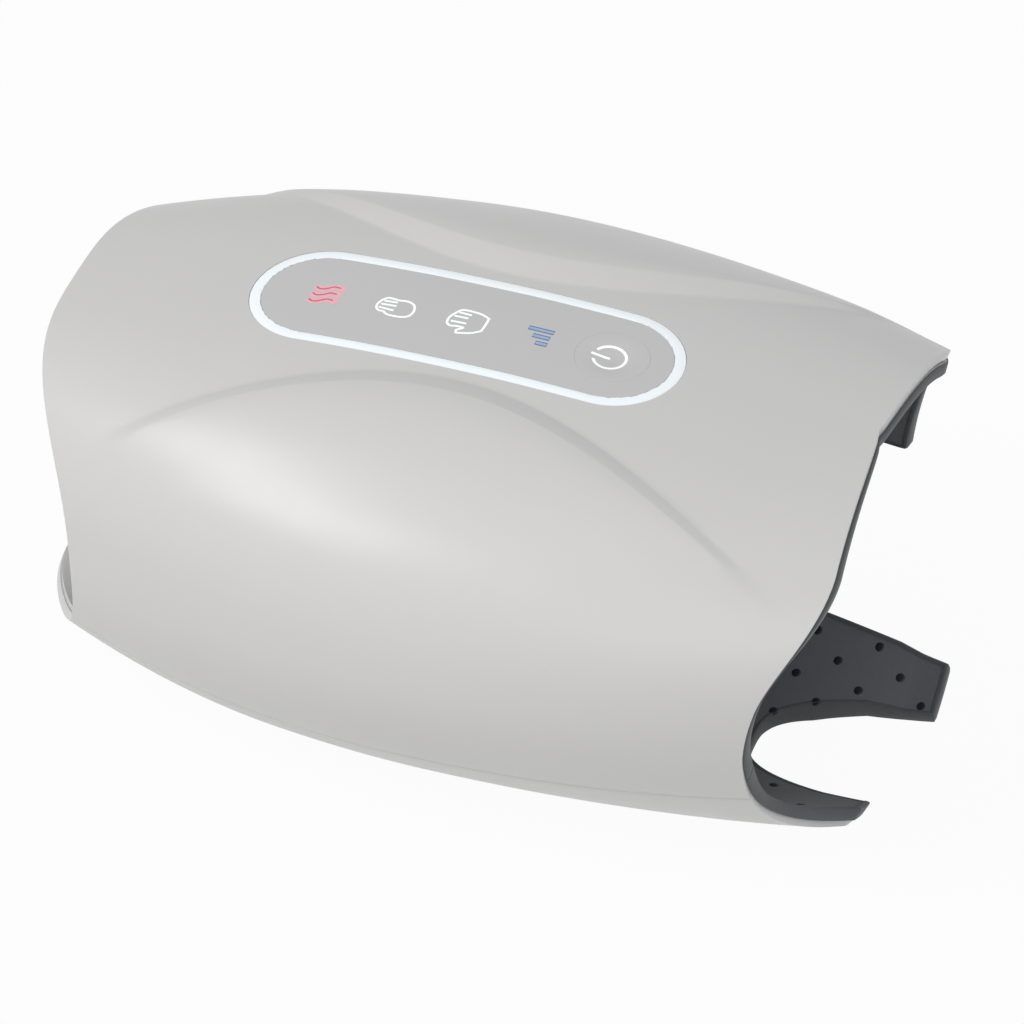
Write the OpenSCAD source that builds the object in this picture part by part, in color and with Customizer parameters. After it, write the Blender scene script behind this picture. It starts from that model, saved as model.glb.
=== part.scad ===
// Cordless hand massager: a thin sleeve that the hand goes into from the right end (+X).
// Origin: middle of the footprint, on the surface that the feet stand on. +Y is the far side.
// A ring angle of 0 is the top of the sleeve, 90 its near side (-Y) and 180 its floor.

/* [Body] */
// Overall length, from the rear floor lip to the prong tips
body_len = 227; // [219:1:235]
// Overall width at the widest station
body_w = 156; // [150:1:162]
// Height of the top of the body over the table
body_h = 119; // [116:1:123]
// Body width at the rear end
rear_w = 89; // [84:1:94]
// Body width at the front end
front_w = 116; // [110:1:122]
// How far the top line falls at the rear end
rear_drop = 14; // [11:0.5:17]
// How far the top line falls at the front end
front_drop = 5.5; // [3:0.5:8]
// How far the floor line rises at the rear end
rear_lift = 14; // [11:0.5:17]
// How far the floor line rises at the front end
front_lift = 4; // [3:0.5:7]
// Place of the widest station
wide_x = 6; // [2:1:10]
// Place of the highest station
peak_x = 10.5; // [6:0.5:14]
// Place where the floor line starts to rise towards the rear
floor_rear_x = -35.5; // [-40:0.5:-32]
// Place where the floor line starts to rise towards the front
floor_front_x = 63.5; // [60:0.5:68]
// How far under the top a section's two halves meet
waist_drop = 50.2; // [47:0.2:53]
// Wall of the outer shells
wall = 2; // [1.6:0.1:2.4]
// Height of the flat underside over the table, which the feet bridge
base_flat = 2.5; // [2:0.1:3.2]

/* [Openings] */
// Distance from the middle to the top edge of the rear opening
rear_top = 106; // [102:1:108]
// Distance from the middle to the side cut of the rear opening
rear_side = 86; // [82:1:90]
// Distance from the middle to the top edge of the mouth
mouth_top = 101.5; // [98:0.5:104]
// How far the mouth's pointed corners stand out of its top edge
corner_out = 3.5; // [1:0.5:5]
// Distance from the middle to the side cut of the mouth
mouth_side = 89.5; // [86:0.5:92]
// Distance from the middle to the end of the U-shaped cut in the floor
notch_x = 72; // [69:1:76]
// Distance from the middle to the prong tip on the near side
near_tip = 108; // [104:1:112]
// Distance from the middle to the end of the thumb opening in the far side
thumb_x = 75; // [73:1:78]

/* [Petals] */
// Height of the raised petal edge over the centre strip
petal_h = 4; // [2:0.2:4.6]
// Distance from the middle line to the middle of the petal edge, at mid length
petal_y = 24.3; // [23:0.1:27]
// Width of the slope between the strip and the petal crest, at mid length
petal_slope = 8; // [6:0.5:9]
// How far the petal edge moves out towards the ends of the sleeve
petal_open = 45; // [40:1:48]
// Length over which the petal edge moves out behind
petal_rear = 82.5; // [78:0.5:90]
// Length over which the petal edge moves out in front
petal_front = 87.2; // [82:0.2:92]

/* [Panel] */
// Overall length of the light ring round the panel
ring_len = 107.5; // [106:0.5:112]
// Overall width of the light ring
ring_w = 35.5; // [34:0.5:37]
// Width of the ring's lit band
ring_band = 2.8; // [2:0.2:3.4]
// Middle of the ring along the body
ring_x = -3.5; // [-5:0.5:-2]
// Thickness of the panel and of the ring
panel_t = 1.4; // [1.2:0.1:1.6]
// Distance between two symbols on the panel
icon_pitch = 18.4; // [17.8:0.1:18.8]
// Radius of the power key
key_r = 9.2; // [8.4:0.2:9.8]
// Depth of the dish in the power key
key_dish = 0.9; // [0.5:0.1:1.1]
// Travel of the power key
key_travel = 0.4; // [0.2:0.05:0.6]

/* [Tunnel] */
// Thickness of the inner frames
frame_t = 1.4; // [1.2:0.1:1.8]
// Thickness of the fabric lining
lining_t = 1.2; // [1:0.1:1.6]
// Depth of the compartment over the tunnel
roof_depth = 30; // [28:0.5:32]
// Depth of the compartment under the tunnel
floor_depth = 26; // [24:0.5:27]
// Depth of the pockets beside the tunnel
side_depth = 16; // [14:0.5:17]
// Length over which the tunnel narrows behind the mouth
front_taper = 34; // [30:1:38]
// Length over which the tunnel narrows behind the rear opening
rear_taper = 30; // [26:1:34]
// Length of each cushion along the tunnel
cushion_l = 84; // [76:1:90]
// Width of each cushion
cushion_w = 64; // [58:1:68]
// Thickness of each cushion
cushion_t = 14; // [12:0.5:15]
// How far each cushion moves when its air cell is filled
cushion_travel = 8; // [5:0.5:9]
// Thickness of an empty air cell
cell_t = 4.4; // [3.6:0.2:5]

/* [Drive] */
// Radius of the pump motor's can
motor_r = 8.6; // [7:0.2:8.8]
// Length of the pump motor's can
motor_l = 28; // [24:1:28]
// Side of the square pump head
head_w = 18; // [16:0.5:18]
// Length of the pump head
head_l = 26; // [24:1:28]
// Radius of the motor shaft
shaft_r = 1; // [0.8:0.1:1.5]
// Side of a valve body
valve_w = 12; // [11:0.5:13]
// Length of a valve body
valve_l = 20; // [18:1:22]
// Radius of a valve plunger
plunger_r = 2; // [1.6:0.1:2.4]
// Travel of a valve plunger
plunger_travel = 0.8; // [0.5:0.1:1]
// Outer radius of an air hose
hose_r = 2; // [1.6:0.1:2.4]

/* [Electronics] */
// Length of the battery
batt_l = 54; // [48:1:54]
// Width of the battery
batt_w = 36; // [30:1:40]
// Thickness of the battery
batt_t = 7; // [5:0.5:7.5]
// Thickness of the circuit boards
pcb_t = 1.6; // [1.2:0.2:1.6]
// Opening width of the charging socket
port_w = 9; // [8.6:0.1:9.6]
// Opening height of the charging socket
port_h = 3.2; // [3:0.1:3.6]

/* [Hidden] */
// Gap between neighbours that don't move on each other
seat = 0.25;
// Radial clearance of a running fit
run_gap = 0.05;
// Radial clearance of a piece that slides in a hole
slide_gap = 0.12;
half_len = body_len / 2;
mid_hw = body_w / 2;
// Height and slope of the line where the top half meets the floor half
waist_z = body_h - waist_drop;
waist_slope = 0.07;
// Roundness of the cross-section: top half at the rear, top half at the front, floor half
rear_round = 3.1;
front_round = 2.25;
floor_round = 1.9;
// Ring angles of the mouth's corners, of its deepest side cut and of the near prong's outer edge
corner_a = 43.5;
deep_a = 107;
near_tip_a = 152;
// Ring angles of the thumb opening's upper and lower edge, and of the far prong's tip
thumb_a = [104.5, 143];
thumb_end_a = 144.5;
far_tip_a = 148.5;
// Ring angles between which both prong tips end, and where the U-shaped cut starts
tip_in_a = 160.5;
notch_a = 162;
// How far the U-shaped cut lets go of the prongs' inner edges
notch_flare = 24;
// Ring angle of the parting line between the shells, and between the frames
part_a = 118;
frame_part_a = 112;
// Half gap of the parting lines, as an angle
part_gap = 0.15;
// Overlap of two solids that are made one
eps = 0.01;

function clamp01(v) = max(0, min(1, v));
function ease(v) = let(c = clamp01(v)) c * c * (3 - 2 * c);
function part_of(x, a, b) = max(0, (x - a) / (b - a));
function mix(a, b, v) = a + (b - a) * v;
function end_share(x) = clamp01((x + half_len) / body_len);

// Half width, top line, floor line and waist line of the outer surface at a station
function half_w(x) = mid_hw
    - (mid_hw - rear_w / 2) * pow(part_of(x, wide_x, -half_len), 1.9)
    - (mid_hw - front_w / 2) * pow(part_of(x, wide_x, half_len), 2.2);
function top_z(x) = body_h
    - rear_drop * pow(part_of(x, peak_x, -half_len), 2.3)
    - front_drop * pow(part_of(x, peak_x, half_len), 1.4);
function floor_z(x) = rear_lift * pow(part_of(x, floor_rear_x, -half_len), 1.9)
    + front_lift * pow(part_of(x, floor_front_x, half_len), 3.1);
function waist(x) = waist_z + waist_slope * x;
function top_round(x) = mix(rear_round, front_round, end_share(x));

// Point of a ring with half width w, top t, floor b, waist m and roundness n or nb at angle a
function ring_pt(x, a, w, t, b, m, n, nb) = let(c = cos(a), s = sin(a), k = c >= 0 ? n : nb)
    [x, -w * sign(s) * pow(abs(s), 2 / k),
        c >= 0 ? m + (t - m) * pow(abs(c), 2 / k) : m - (m - b) * pow(abs(c), 2 / k)];
// Outer surface moved in by d, before the petals and the flat underside
function plain_pt(x, a, d) = ring_pt(x, a, half_w(x) - d, top_z(x) - d, floor_z(x) + d,
    waist(x), top_round(x), floor_round);
// Distance from the middle line to the middle of the petal edge, and half the width of its slope
petal_x = 1;
function crease_y(x) = let(u = x - petal_x)
    petal_y + petal_open * (1 - exp(-pow(u / (u < 0 ? petal_rear : petal_front), 2)));
function crease_half(x) = max(1.3, petal_slope / 2 * (1 - 0.62 * pow(abs(x - petal_x) / 74, 1.7)));
// Height of the petal at a station, ring angle and distance from the middle line
function petal(x, a, y) = let(t = clamp01((abs(y) - crease_y(x)) / (2 * crease_half(x)) + 0.5),
    start = 18 + 20 * pow(clamp01(abs(x - petal_x) / 80), 2))
    petal_h * t * pow(clamp01(1 - pow((x - 3) / 90, 2)), 1.2) * (1 - ease((abs(a) - start) / 42));
function skin_pt(x, a, d) = let(y = plain_pt(x, a, 0)[1], p = plain_pt(x, a, d - petal(x, a, y)))
    [p[0], p[1], max(p[2], base_flat + d)];
// Height of the outer surface over a point of the footprint near the middle strip
function strip_z(x, y, d) = let(n = top_round(x), w = half_w(x) - d, m = waist(x))
    m + (top_z(x) - d - m) * pow(1 - pow(abs(y) / w, n), 1 / n);

// Rim of the mouth's upper part on either side, at b degrees from the top
function mouth_upper(b) = b < corner_a ? mouth_top + corner_out * pow(b / corner_a, 0.6)
    : mouth_side + (mouth_top + corner_out - mouth_side)
        * pow(0.5 + 0.5 * cos(180 * min(1, (b - corner_a) / (deep_a - corner_a))), 0.95);
// Rim of the U-shaped cut in the floor, between prongs that end at a given tip
function notch_rim(b, tip) = b < notch_a
    ? mix(tip, notch_x + notch_flare, (b - tip_in_a) / (notch_a - tip_in_a))
    : notch_x + notch_flare * pow((180 - b) / (180 - notch_a), 3);
function mouth_near(b) = b < deep_a ? mouth_upper(b)
    : b < near_tip_a ? mix(mouth_side, near_tip, pow((b - deep_a) / (near_tip_a - deep_a), 2.4))
    : b < tip_in_a ? near_tip : notch_rim(b, near_tip);
// The far side has the thumb opening between its wall and its prong
thumb_ease = 1.5;
thumb_root_x = 95;
function mouth_far(b) = b < thumb_a[0] ? mouth_upper(b)
    : b < thumb_a[1] ? mix(mouth_upper(thumb_a[0]), thumb_x, ease((b - thumb_a[0]) / thumb_ease))
    : b < thumb_end_a ? mix(thumb_x, thumb_root_x, (b - thumb_a[1]) / (thumb_end_a - thumb_a[1]))
    : b < far_tip_a ? mix(thumb_root_x, half_len, (b - thumb_end_a) / (far_tip_a - thumb_end_a))
    : b < tip_in_a ? half_len : notch_rim(b, half_len);
function mouth_x(a) = a > 0 ? mouth_near(a) : mouth_far(-a);
// Rim of the rear opening
function rear_x(a) = let(m = (rear_top + half_len) / 2, k = (half_len - rear_top) / 2, q = 1.6)
    -(m + rear_side) / 2 - (m - rear_side) / 2 * cos(2 * a) + (k - q) * cos(a) + q * cos(3 * a);

// How far a tunnel surface stands in from the rims, from 0 at a rim to 1 in the middle
front_start_top = 94;
front_start_low = 70;
rear_straight = 6;
function front_start(a) = mix(front_start_top, front_start_low, ease((abs(a) - 60) / 45));
function inset_share(x, a) = ease((front_start(a) - x) / front_taper)
    * ease((x - rear_x(a) - rear_straight) / rear_taper);
// Gap between the shells and the inner frames at the rims
frame_gap = 0.7;
// How far the layers of the prongs have closed up, from 0 in the tunnel to 1 at the prongs
close_start = 14;
function close_share(x, a) = ease((x - notch_x + close_start) / 12) * ease((abs(a) - frame_part_a) / 14);
// Outer face of the inner frames, moved in by d; at the prongs all layers are thinner and closer
function frame_pt(x, a, d) = let(g = inset_share(x, a), s = close_share(x, a),
    out = wall + frame_gap + d * (1 - s / 2) - (frame_gap - seat) * s)
    ring_pt(x, a, half_w(x) - out - g * side_depth, top_z(x) - out - g * roof_depth,
        max(floor_z(x), base_flat) + out + g * floor_depth,
        waist(x), mix(top_round(x), 4, g), mix(floor_round, 3.2, g));

// Two triangles of the quad a, b, c, d, split between a and c or between b and d
function tris(a, b, c, d, ac) = ac ? [[a, b, c], [a, c, d]] : [[a, b, d], [b, c, d]];
// Solid between two grids of points that have the same rows and columns
module sheet(outer, inner) {
    rows = len(outer);
    cols = len(outer[0]);
    half = rows * cols;
    pts = concat([for (r = outer) each r], [for (r = inner) each r]);
    function at(i, j, side) = side * half + i * cols + j;
    // Each quad is split along its shorter diagonal
    function short_ac(i, j) =
        norm(outer[i][j] - outer[i + 1][j + 1]) <= norm(outer[i + 1][j] - outer[i][j + 1]);
    faces = concat(
        [for (i = [0 : rows - 2], j = [0 : cols - 2])
            each tris(at(i, j, 0), at(i + 1, j, 0), at(i + 1, j + 1, 0), at(i, j + 1, 0), short_ac(i, j))],
        [for (i = [0 : rows - 2], j = [0 : cols - 2])
            each tris(at(i, j, 1), at(i, j + 1, 1), at(i + 1, j + 1, 1), at(i + 1, j, 1), short_ac(i, j))],
        [for (i = [0 : rows - 2])
            each [[at(i, 0, 0), at(i + 1, 0, 1), at(i + 1, 0, 0)],
                [at(i, 0, 0), at(i, 0, 1), at(i + 1, 0, 1)],
                [at(i, cols - 1, 0), at(i + 1, cols - 1, 0), at(i + 1, cols - 1, 1)],
                [at(i, cols - 1, 0), at(i + 1, cols - 1, 1), at(i, cols - 1, 1)]]],
        [for (j = [0 : cols - 2])
            each [[at(0, j, 0), at(0, j + 1, 0), at(0, j + 1, 1)],
                [at(0, j, 0), at(0, j + 1, 1), at(0, j, 1)],
                [at(rows - 1, j, 0), at(rows - 1, j + 1, 1), at(rows - 1, j + 1, 0)],
                [at(rows - 1, j, 0), at(rows - 1, j, 1), at(rows - 1, j + 1, 1)]]]);
    polyhedron(points = pts, faces = faces, convexity = 8);
}

// Side faces of a solid from a stack of closed rings
function ring_faces(rows, cols) = [for (i = [0 : rows - 2], j = [0 : cols - 1])
    each [[i * cols + j, (i + 1) * cols + (j + 1) % cols, (i + 1) * cols + j],
        [i * cols + j, i * cols + (j + 1) % cols, (i + 1) * cols + (j + 1) % cols]]];
function mean(v) = v * [for (i = v) 1] / len(v);
function centre(ring) = [for (k = [0 : 2]) mean([for (p = ring) p[k]])];

// Solid from a stack of closed rings, each end closed by a fan round its centre
module stack(rings) {
    rows = len(rings);
    cols = len(rings[0]);
    last = (rows - 1) * cols;
    polyhedron(points = concat([for (r = rings) each r], [centre(rings[0]), centre(rings[rows - 1])]),
        faces = concat(ring_faces(rows, cols),
            [for (j = [0 : cols - 1]) [j, rows * cols, (j + 1) % cols]],
            [for (j = [0 : cols - 1]) [last + j, last + (j + 1) % cols, rows * cols + 1]]),
        convexity = 8);
}

// Solid from a stack of closed rings that are symmetric about the middle line: point 2 * tip - j
// mirrors point j, and each end is closed by strips between such pairs
module plate_stack(rings, tip) {
    rows = len(rings);
    cols = len(rings[0]);
    last = (rows - 1) * cols;
    function pair(j) = (2 * tip - j + cols) % cols;
    ends = [tip, tip + cols / 2];
    polyhedron(points = [for (r = rings) each r],
        faces = concat(ring_faces(rows, cols),
            [for (j = [ends[0] : ends[1] - 1]) each concat(
                j == ends[0] ? [] : [[j, pair(j), j + 1]],
                j == ends[1] - 1 ? [] : [[j + 1, pair(j), pair(j + 1)]])],
            [for (j = [ends[0] : ends[1] - 1]) each concat(
                j == ends[0] ? [] : [[last + j, last + j + 1, last + pair(j)]],
                j == ends[1] - 1 ? [] : [[last + j + 1, last + pair(j + 1), last + pair(j)]])]),
        convexity = 8);
}

// Ring angle of the petal slope's inner end (-1) or outer end (1)
function crease_a(x, side) = asin(pow(min(0.95, (crease_y(x) + side * crease_half(x)) / half_w(x)),
    top_round(x) / 2));
// Ring angles of the upper shell: the petal slope gets lines of its own
strip_lines = [0, 0.36, 0.72, 1];
function upper_lines(v) = let(x = along(corner_a, v, 0), f = min(35, crease_a(x, -1)),
    c = max(f + 2, min(41, crease_a(x, 1))))
    concat([for (k = strip_lines) f * k], [c, corner_a, 52, 62, 72, 82, 92, 98.5, thumb_a[0],
        thumb_a[0] + thumb_ease, 112, part_a - part_gap]);
function mirrored(v) = concat([for (i = [len(v) - 1 : -1 : 1]) -v[i]], v);
shell_rows = 20;
// Stations between which the rows of points lie square across the body
square_x = [22 - rear_side, mouth_side - 45.5];
// Share of the rows behind, between and in front of these stations
row_share = [0.24, 0.44, 0.32];
// How far a frame's front edge lies back from the shell's
front_back = 0.3;
// Place along the body of a row: it follows the rims at both ends, back from the rear one by b
function along(a, v, b) = let(r = rear_x(a) + b, m = mouth_x(a) - (b > 0 ? front_back : 0),
    q = row_share[0] + row_share[1])
    v < row_share[0] ? mix(r, square_x[0], pow(v / row_share[0], 1.1))
    : v < q ? mix(square_x[0], square_x[1], (v - row_share[0]) / row_share[1])
    : mix(square_x[1], m, 1 - pow(clamp01((1 - v) / row_share[2]), 1.25));
function shares(n) = [for (i = [0 : n - 1]) i / (n - 1)];

module upper_shell_body() {
    vs = shares(shell_rows);
    sheet([for (v = vs) [for (a = mirrored(upper_lines(v))) skin_pt(along(a, v, 0), a, 0)]],
        [for (v = vs) [for (a = mirrored(upper_lines(v))) skin_pt(along(a, v, 0), a, wall)]]);
}

floor_lines = [part_a + part_gap, 126, 135, thumb_a[1], thumb_end_a, 146.5, far_tip_a, near_tip_a, 156,
    tip_in_a, notch_a, 165, 168, 172, 176, 180];
function around_floor(v) = concat([for (i = [0 : len(v) - 1]) v[i]],
    [for (i = [len(v) - 2 : -1 : 0]) 360 - v[i]]);
// Ring angles past the floor line are negative ones
function signed(a) = a > 180 ? a - 360 : a;

module base_shell_body() {
    vs = shares(shell_rows);
    lines = around_floor(floor_lines);
    sheet([for (v = vs) [for (a = lines) skin_pt(along(signed(a), v, 0), a, 0)]],
        [for (v = vs) [for (a = lines) skin_pt(along(signed(a), v, 0), a, wall)]]);
}

// Stadium outline of the panel family, r from its axis, as points of the footprint
stadium_n = 20;
function stadium(r) = let(h = ring_len / 2 - ring_w / 2) concat(
    [for (i = [0 : stadium_n]) let(t = -90 + 180 * i / stadium_n)
        [ring_x + h + r * cos(t), r * sin(t)]],
    [for (k = [1 : 7]) [ring_x + mix(h, -h, k / 8), r]],
    [for (i = [0 : stadium_n]) let(t = 90 + 180 * i / stadium_n)
        [ring_x - h + r * cos(t), r * sin(t)]],
    [for (k = [1 : 7]) [ring_x + mix(-h, h, k / 8), -r]]);
function raised(line, d) = [for (p = line) [p[0], p[1], strip_z(p[0], p[1], d)]];

// Plate under the strip, inside radius r, between the depths d0 and d1
module strip_plate(r, d0, d1) {
    rs = [r * 0.4, r * 0.75, r];
    plate_stack(concat([for (k = rs) raised(stadium(k), d0)],
        [for (i = [len(rs) - 1 : -1 : 0]) raised(stadium(rs[i]), d1)]), stadium_n / 2);
}

// Points of a core's ring, the distance of its rings, and how far a core reaches past what it cuts
core_cols = 36;
core_step = 6;
core_over = 8;
// Solid that fills the outer surface moved in by d, between two stations
module skin_core(d, x0, x1) {
    n = ceil((x1 - x0) / core_step);
    stack([for (i = [0 : n]) let(x = mix(x0, x1, i / n))
        [for (j = [0 : core_cols - 1]) skin_pt(x, 180 - 360 * j / core_cols, d)]]);
}
// Solid that fills the inner frames, grown by d, between two stations
module tunnel_core(d, x0, x1) {
    n = ceil((x1 - x0) / core_step);
    stack([for (i = [0 : n]) let(x = mix(x0, x1, i / n))
        [for (j = [0 : core_cols - 1]) frame_pt(x, 180 - 360 * j / core_cols, -d)]]);
}

// Case screws: they hold the floor of the base shell to the legs of the lower tray
screw_x = [-12, 36];
screw_dy = 12;
screw_r = 1.5;
screw_len = 12;
screw_head_r = 2.9;
screw_head_h = 2.2;
boss_r = 4.6;
boss_h = 5.5;
recess_h = 3.6;
module at_screws() {
    for (x = screw_x, s = [-1, 1])
        translate([x, s * screw_dy, base_flat]) children();
}

// Socket in the far wall
port_x = -60;
port_z = 62;
port_len = 8.2;
port_sink = 0.4;
port_y = half_w(port_x) - port_sink;
// Size of the socket's board, and the depth and wall of its mouth
port_board_l = 16;
port_board_h = 12;
port_mouth = 6;
port_wall = 0.4;

module upper_shell() {
    color("gainsboro") difference() {
        upper_shell_body();
        panel_pocket();
        port_slot(slide_gap);
    }
}

// Depth of the panel's pocket, how far the panel lies under the strip, and the ledge that it rests on
pocket_depth = panel_t + 0.2;
panel_sink = 0.2;
ledge = 4.5;
module panel_pocket() {
    strip_plate(ring_w / 2 + slide_gap, -6, pocket_depth);
    r = ring_w / 2 - ledge;
    h = ring_len / 2 - ring_w / 2;
    translate([ring_x, 0, body_h - 14]) {
        translate([-h, -r, 0]) cube([2 * h, 2 * r, 16]);
        for (s = [-1, 1]) translate([s * h, 0, 0]) cylinder(r = r, h = 16, $fn = 48);
    }
}

module port_slot(gap) {
    r = port_h / 2 + gap;
    translate([port_x, port_y + 4, port_z]) rotate([90, 0, 0])
        for (s = [-1, 1]) translate([s * (port_w / 2 - port_h / 2), 0, 0])
            cylinder(r = r, h = 12, $fn = 32);
    translate([port_x - port_w / 2 + port_h / 2, port_y - 8, port_z - r])
        cube([port_w - port_h, 12, 2 * r]);
}

// Rubber feet: radius, places along the body, how far they sink into the floor, and side distance
foot_r = 5.5;
foot_x = [-28, 52];
foot_sink = 1;
foot_dy = 11;
module at_feet() {
    for (x = foot_x, s = [-1, 1])
        translate([x, s * foot_dy, 0]) children();
}

module base_shell() {
    color("silver") difference() {
        union() {
            base_shell_body();
            at_screws() translate([0, 0, wall / 2]) cylinder(r = boss_r, h = boss_h - wall / 2, $fn = 40);
        }
        at_screws() translate([0, 0, -1]) cylinder(r = screw_head_r + seat, h = recess_h + 1, $fn = 40);
        at_screws() cylinder(r = screw_r + slide_gap, h = boss_h + 1, $fn = 24);
        at_feet() cylinder(r = foot_r + slide_gap, h = base_flat + foot_sink, $fn = 40);
    }
}

module feet() {
    color("dimgray") at_feet() cylinder(r = foot_r, h = base_flat + foot_sink - seat / 2, $fn = 40);
}

module case_screws() {
    color("silver") at_screws() {
        translate([0, 0, recess_h - screw_head_h - run_gap])
            cylinder(r = screw_head_r, h = screw_head_h, $fn = 40);
        translate([0, 0, recess_h - screw_head_h]) cylinder(r = screw_r, h = screw_len, $fn = 24);
    }
}

// Tilt of the outer surface at the power key
key_x = ring_x + ring_len / 2 - ring_w / 2 + 1.5;
key_tilt = atan((strip_z(key_x - 1, 0, 0) - strip_z(key_x + 1, 0, 0)) / 2);
key_z = strip_z(key_x, 0, panel_sink);
// Height and step of the key's flange, the key's body under the panel, its stem and the stem's reach
flange_h = 0.8;
flange_in = 1.5;
key_under = 0.4;
stem_r = 1.6;
stem_z = panel_t + 2.2;
module at_key() {
    translate([key_x, 0, key_z]) rotate([0, key_tilt, 0]) children();
}

module panel() {
    color("gainsboro") difference() {
        strip_plate(ring_w / 2 - ring_band - slide_gap, panel_sink, panel_t);
        at_key() translate([0, 0, -8]) cylinder(r = key_r + slide_gap, h = 16, $fn = 64);
    }
}

module ring_light() {
    color("white") difference() {
        strip_plate(ring_w / 2, panel_sink / 2, panel_t);
        strip_plate(ring_w / 2 - ring_band, -2, panel_t + 2);
    }
}

module power_key() {
    ball = (key_r * key_r + key_dish * key_dish) / (2 * key_dish);
    color("gainsboro") at_key() difference() {
        union() {
            translate([0, 0, -panel_t - key_under]) cylinder(r = key_r, h = panel_t + key_under, $fn = 64);
            translate([0, 0, -panel_t - key_under - flange_h])
                cylinder(r = key_r - flange_in, h = flange_h + eps, $fn = 64);
            translate([0, 0, -stem_z]) cylinder(r = stem_r, h = stem_z - 1, $fn = 32);
        }
        translate([0, 0, ball - key_dish]) sphere(r = ball, $fn = 240);
    }
}

// Depth of the touch board under the top of the body, and its size
board_depth = 8.6;
board_z = body_h - board_depth;
touch_board_l = ring_len - 9.5;
touch_board_w = ring_w - 10.5;
// The touch board lies under the panel, on four posts of the tray
module touch_board() {
    color("seagreen") difference() {
        translate([ring_x - touch_board_l / 2, -touch_board_w / 2, board_z])
            cube([touch_board_l, touch_board_w, pcb_t]);
        at_board_posts() translate([0, 0, board_z - 1])
            cylinder(r = peg_r + slide_gap, h = pcb_t + 2, $fn = 24);
    }
}
// Side of the key switch, and the radius and height of its plunger
switch_w = 6;
switch_r = 1.4;
switch_h = 0.4;
module key_switch() {
    top = key_z - stem_z - key_travel - slide_gap;
    color("black") {
        translate([key_x - switch_w / 2, -switch_w / 2, board_z + pcb_t])
            cube([switch_w, switch_w, top - switch_h - board_z - pcb_t]);
        translate([key_x, 0, top - switch_h - 0.1]) cylinder(r = switch_r, h = switch_h + 0.1, $fn = 24);
    }
}

touch_x = [for (i = [1 : 4]) key_x - i * icon_pitch];
// Outer and inner radius of the touch springs between the board and the panel
spring_r = 3;
spring_in_r = 2.2;
module touch_springs() {
    color("silver") for (x = touch_x) {
        h = min(strip_z(x - spring_r, spring_r, panel_t), strip_z(x + spring_r, spring_r, panel_t))
            - 0.2 - board_z - pcb_t;
        translate([x, 0, board_z + pcb_t]) difference() {
            cylinder(r = spring_r, h = h, $fn = 32);
            translate([0, 0, -1]) cylinder(r = spring_in_r, h = h + 2, $fn = 32);
        }
    }
}

// Heights of what lies over the tunnel, from the roof up
// Gap between a frame and its lining
lining_gap = 0.35;
roof_z = top_z(0) - wall - frame_gap - roof_depth - frame_t - lining_t - lining_gap;
// How far the cushions stand out of the linings at rest
cushion_out = 4;
ucush_z = roof_z - cushion_out;
ucell_z = ucush_z + cushion_t + seat;
tray_z = ucell_z + cell_t + seat;
tray_t = 2;
tray_l = 116;
// Room beside the tray for the pump on one side and the valves on the other
tray_beside = 74;
tray_w = body_w - tray_beside;
tray_x = -4;
// Side of the tray's legs, how far they reach down beside the roof, and how far they stand in
leg_w = 8;
leg_down = 8;
leg_in = 8;
// Heights of what lies under the tunnel, from the floor down
floor_top = base_flat + wall + frame_gap + floor_depth + frame_t + lining_t + lining_gap;
lcush_z = floor_top + cushion_out - cushion_t;
// Thickness of the heating film
film_t = 0.5;
lcell_z = lcush_z - film_t - seat - cell_t;

// Manifold at the rear end of the tray
man_l = 12;
man_w = 46;
man_h = 7;
man_x = tray_x - tray_l / 2;
man_z = tray_z + tray_t + seat / 2;

// Place of the upper cell's hose, and the play round it in the tray
cell_port = [-25, 22];
hose_play = 1.4;

// Posts of the touch board, their pegs, and the play beside them
post_r = 1.9;
peg_r = 1;
post_play = 0.4;
batt_x = man_x + man_l + 2 * post_r + 2 * post_play + 0.2;
// Posts for the touch board, in the gaps at both ends of the battery
module at_board_posts() {
    for (x = [man_x + man_l + post_r + post_play, batt_x + batt_l + post_r + post_play], s = [-1, 1])
        translate([x, s * (touch_board_w / 2 - 3), 0]) children();
}

module tray() {
    color("lightgray") difference() {
        union() {
            translate([tray_x - tray_l / 2, -tray_w / 2, tray_z]) cube([tray_l, tray_w, tray_t]);
            at_board_posts() translate([0, 0, tray_z + 1]) {
                cylinder(r = post_r, h = board_z - tray_z - 1 - seat / 2, $fn = 24);
                cylinder(r = peg_r, h = board_z - tray_z + 1, $fn = 24);
            }
            difference() {
                for (sx = [-1, 1], sy = [-1, 1])
                    translate([tray_x + sx * (tray_l / 2 - leg_in) - leg_w / 2,
                        sy * (tray_w - leg_w) / 2 - leg_w / 2, roof_z - leg_down])
                        cube([leg_w, leg_w, tray_z - roof_z + leg_down + 1]);
                tunnel_core(seat, tray_x - tray_l / 2 - core_over, tray_x + tray_l / 2 + core_over);
            }
        }
        translate([cell_port[0], cell_port[1], tray_z - 1])
            cylinder(r = hose_r + hose_play, h = tray_t + 2, $fn = 24);
    }
}

// Plate that carries the lower cell, on four legs that the case screws go into
lower_tray_t = 2;
lower_tray_z = lcell_z - seat - lower_tray_t;
module lower_tray() {
    leg_z = base_flat + boss_h + seat / 2;
    color("lightgray") difference() {
        union() {
            translate([-cushion_l / 2 - 2, -cushion_w / 2 - 2, lower_tray_z])
                cube([cushion_l + 4, cushion_w + 4, lower_tray_t]);
            at_screws() translate([0, 0, leg_z - base_flat])
                cylinder(r = boss_r, h = lower_tray_z - leg_z + 1, $fn = 40);
        }
        at_screws() translate([0, 0, boss_h - 1])
            cylinder(r = screw_r + run_gap, h = screw_len + recess_h - screw_head_h - boss_h + 1.2,
                $fn = 24);
    }
}

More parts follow.
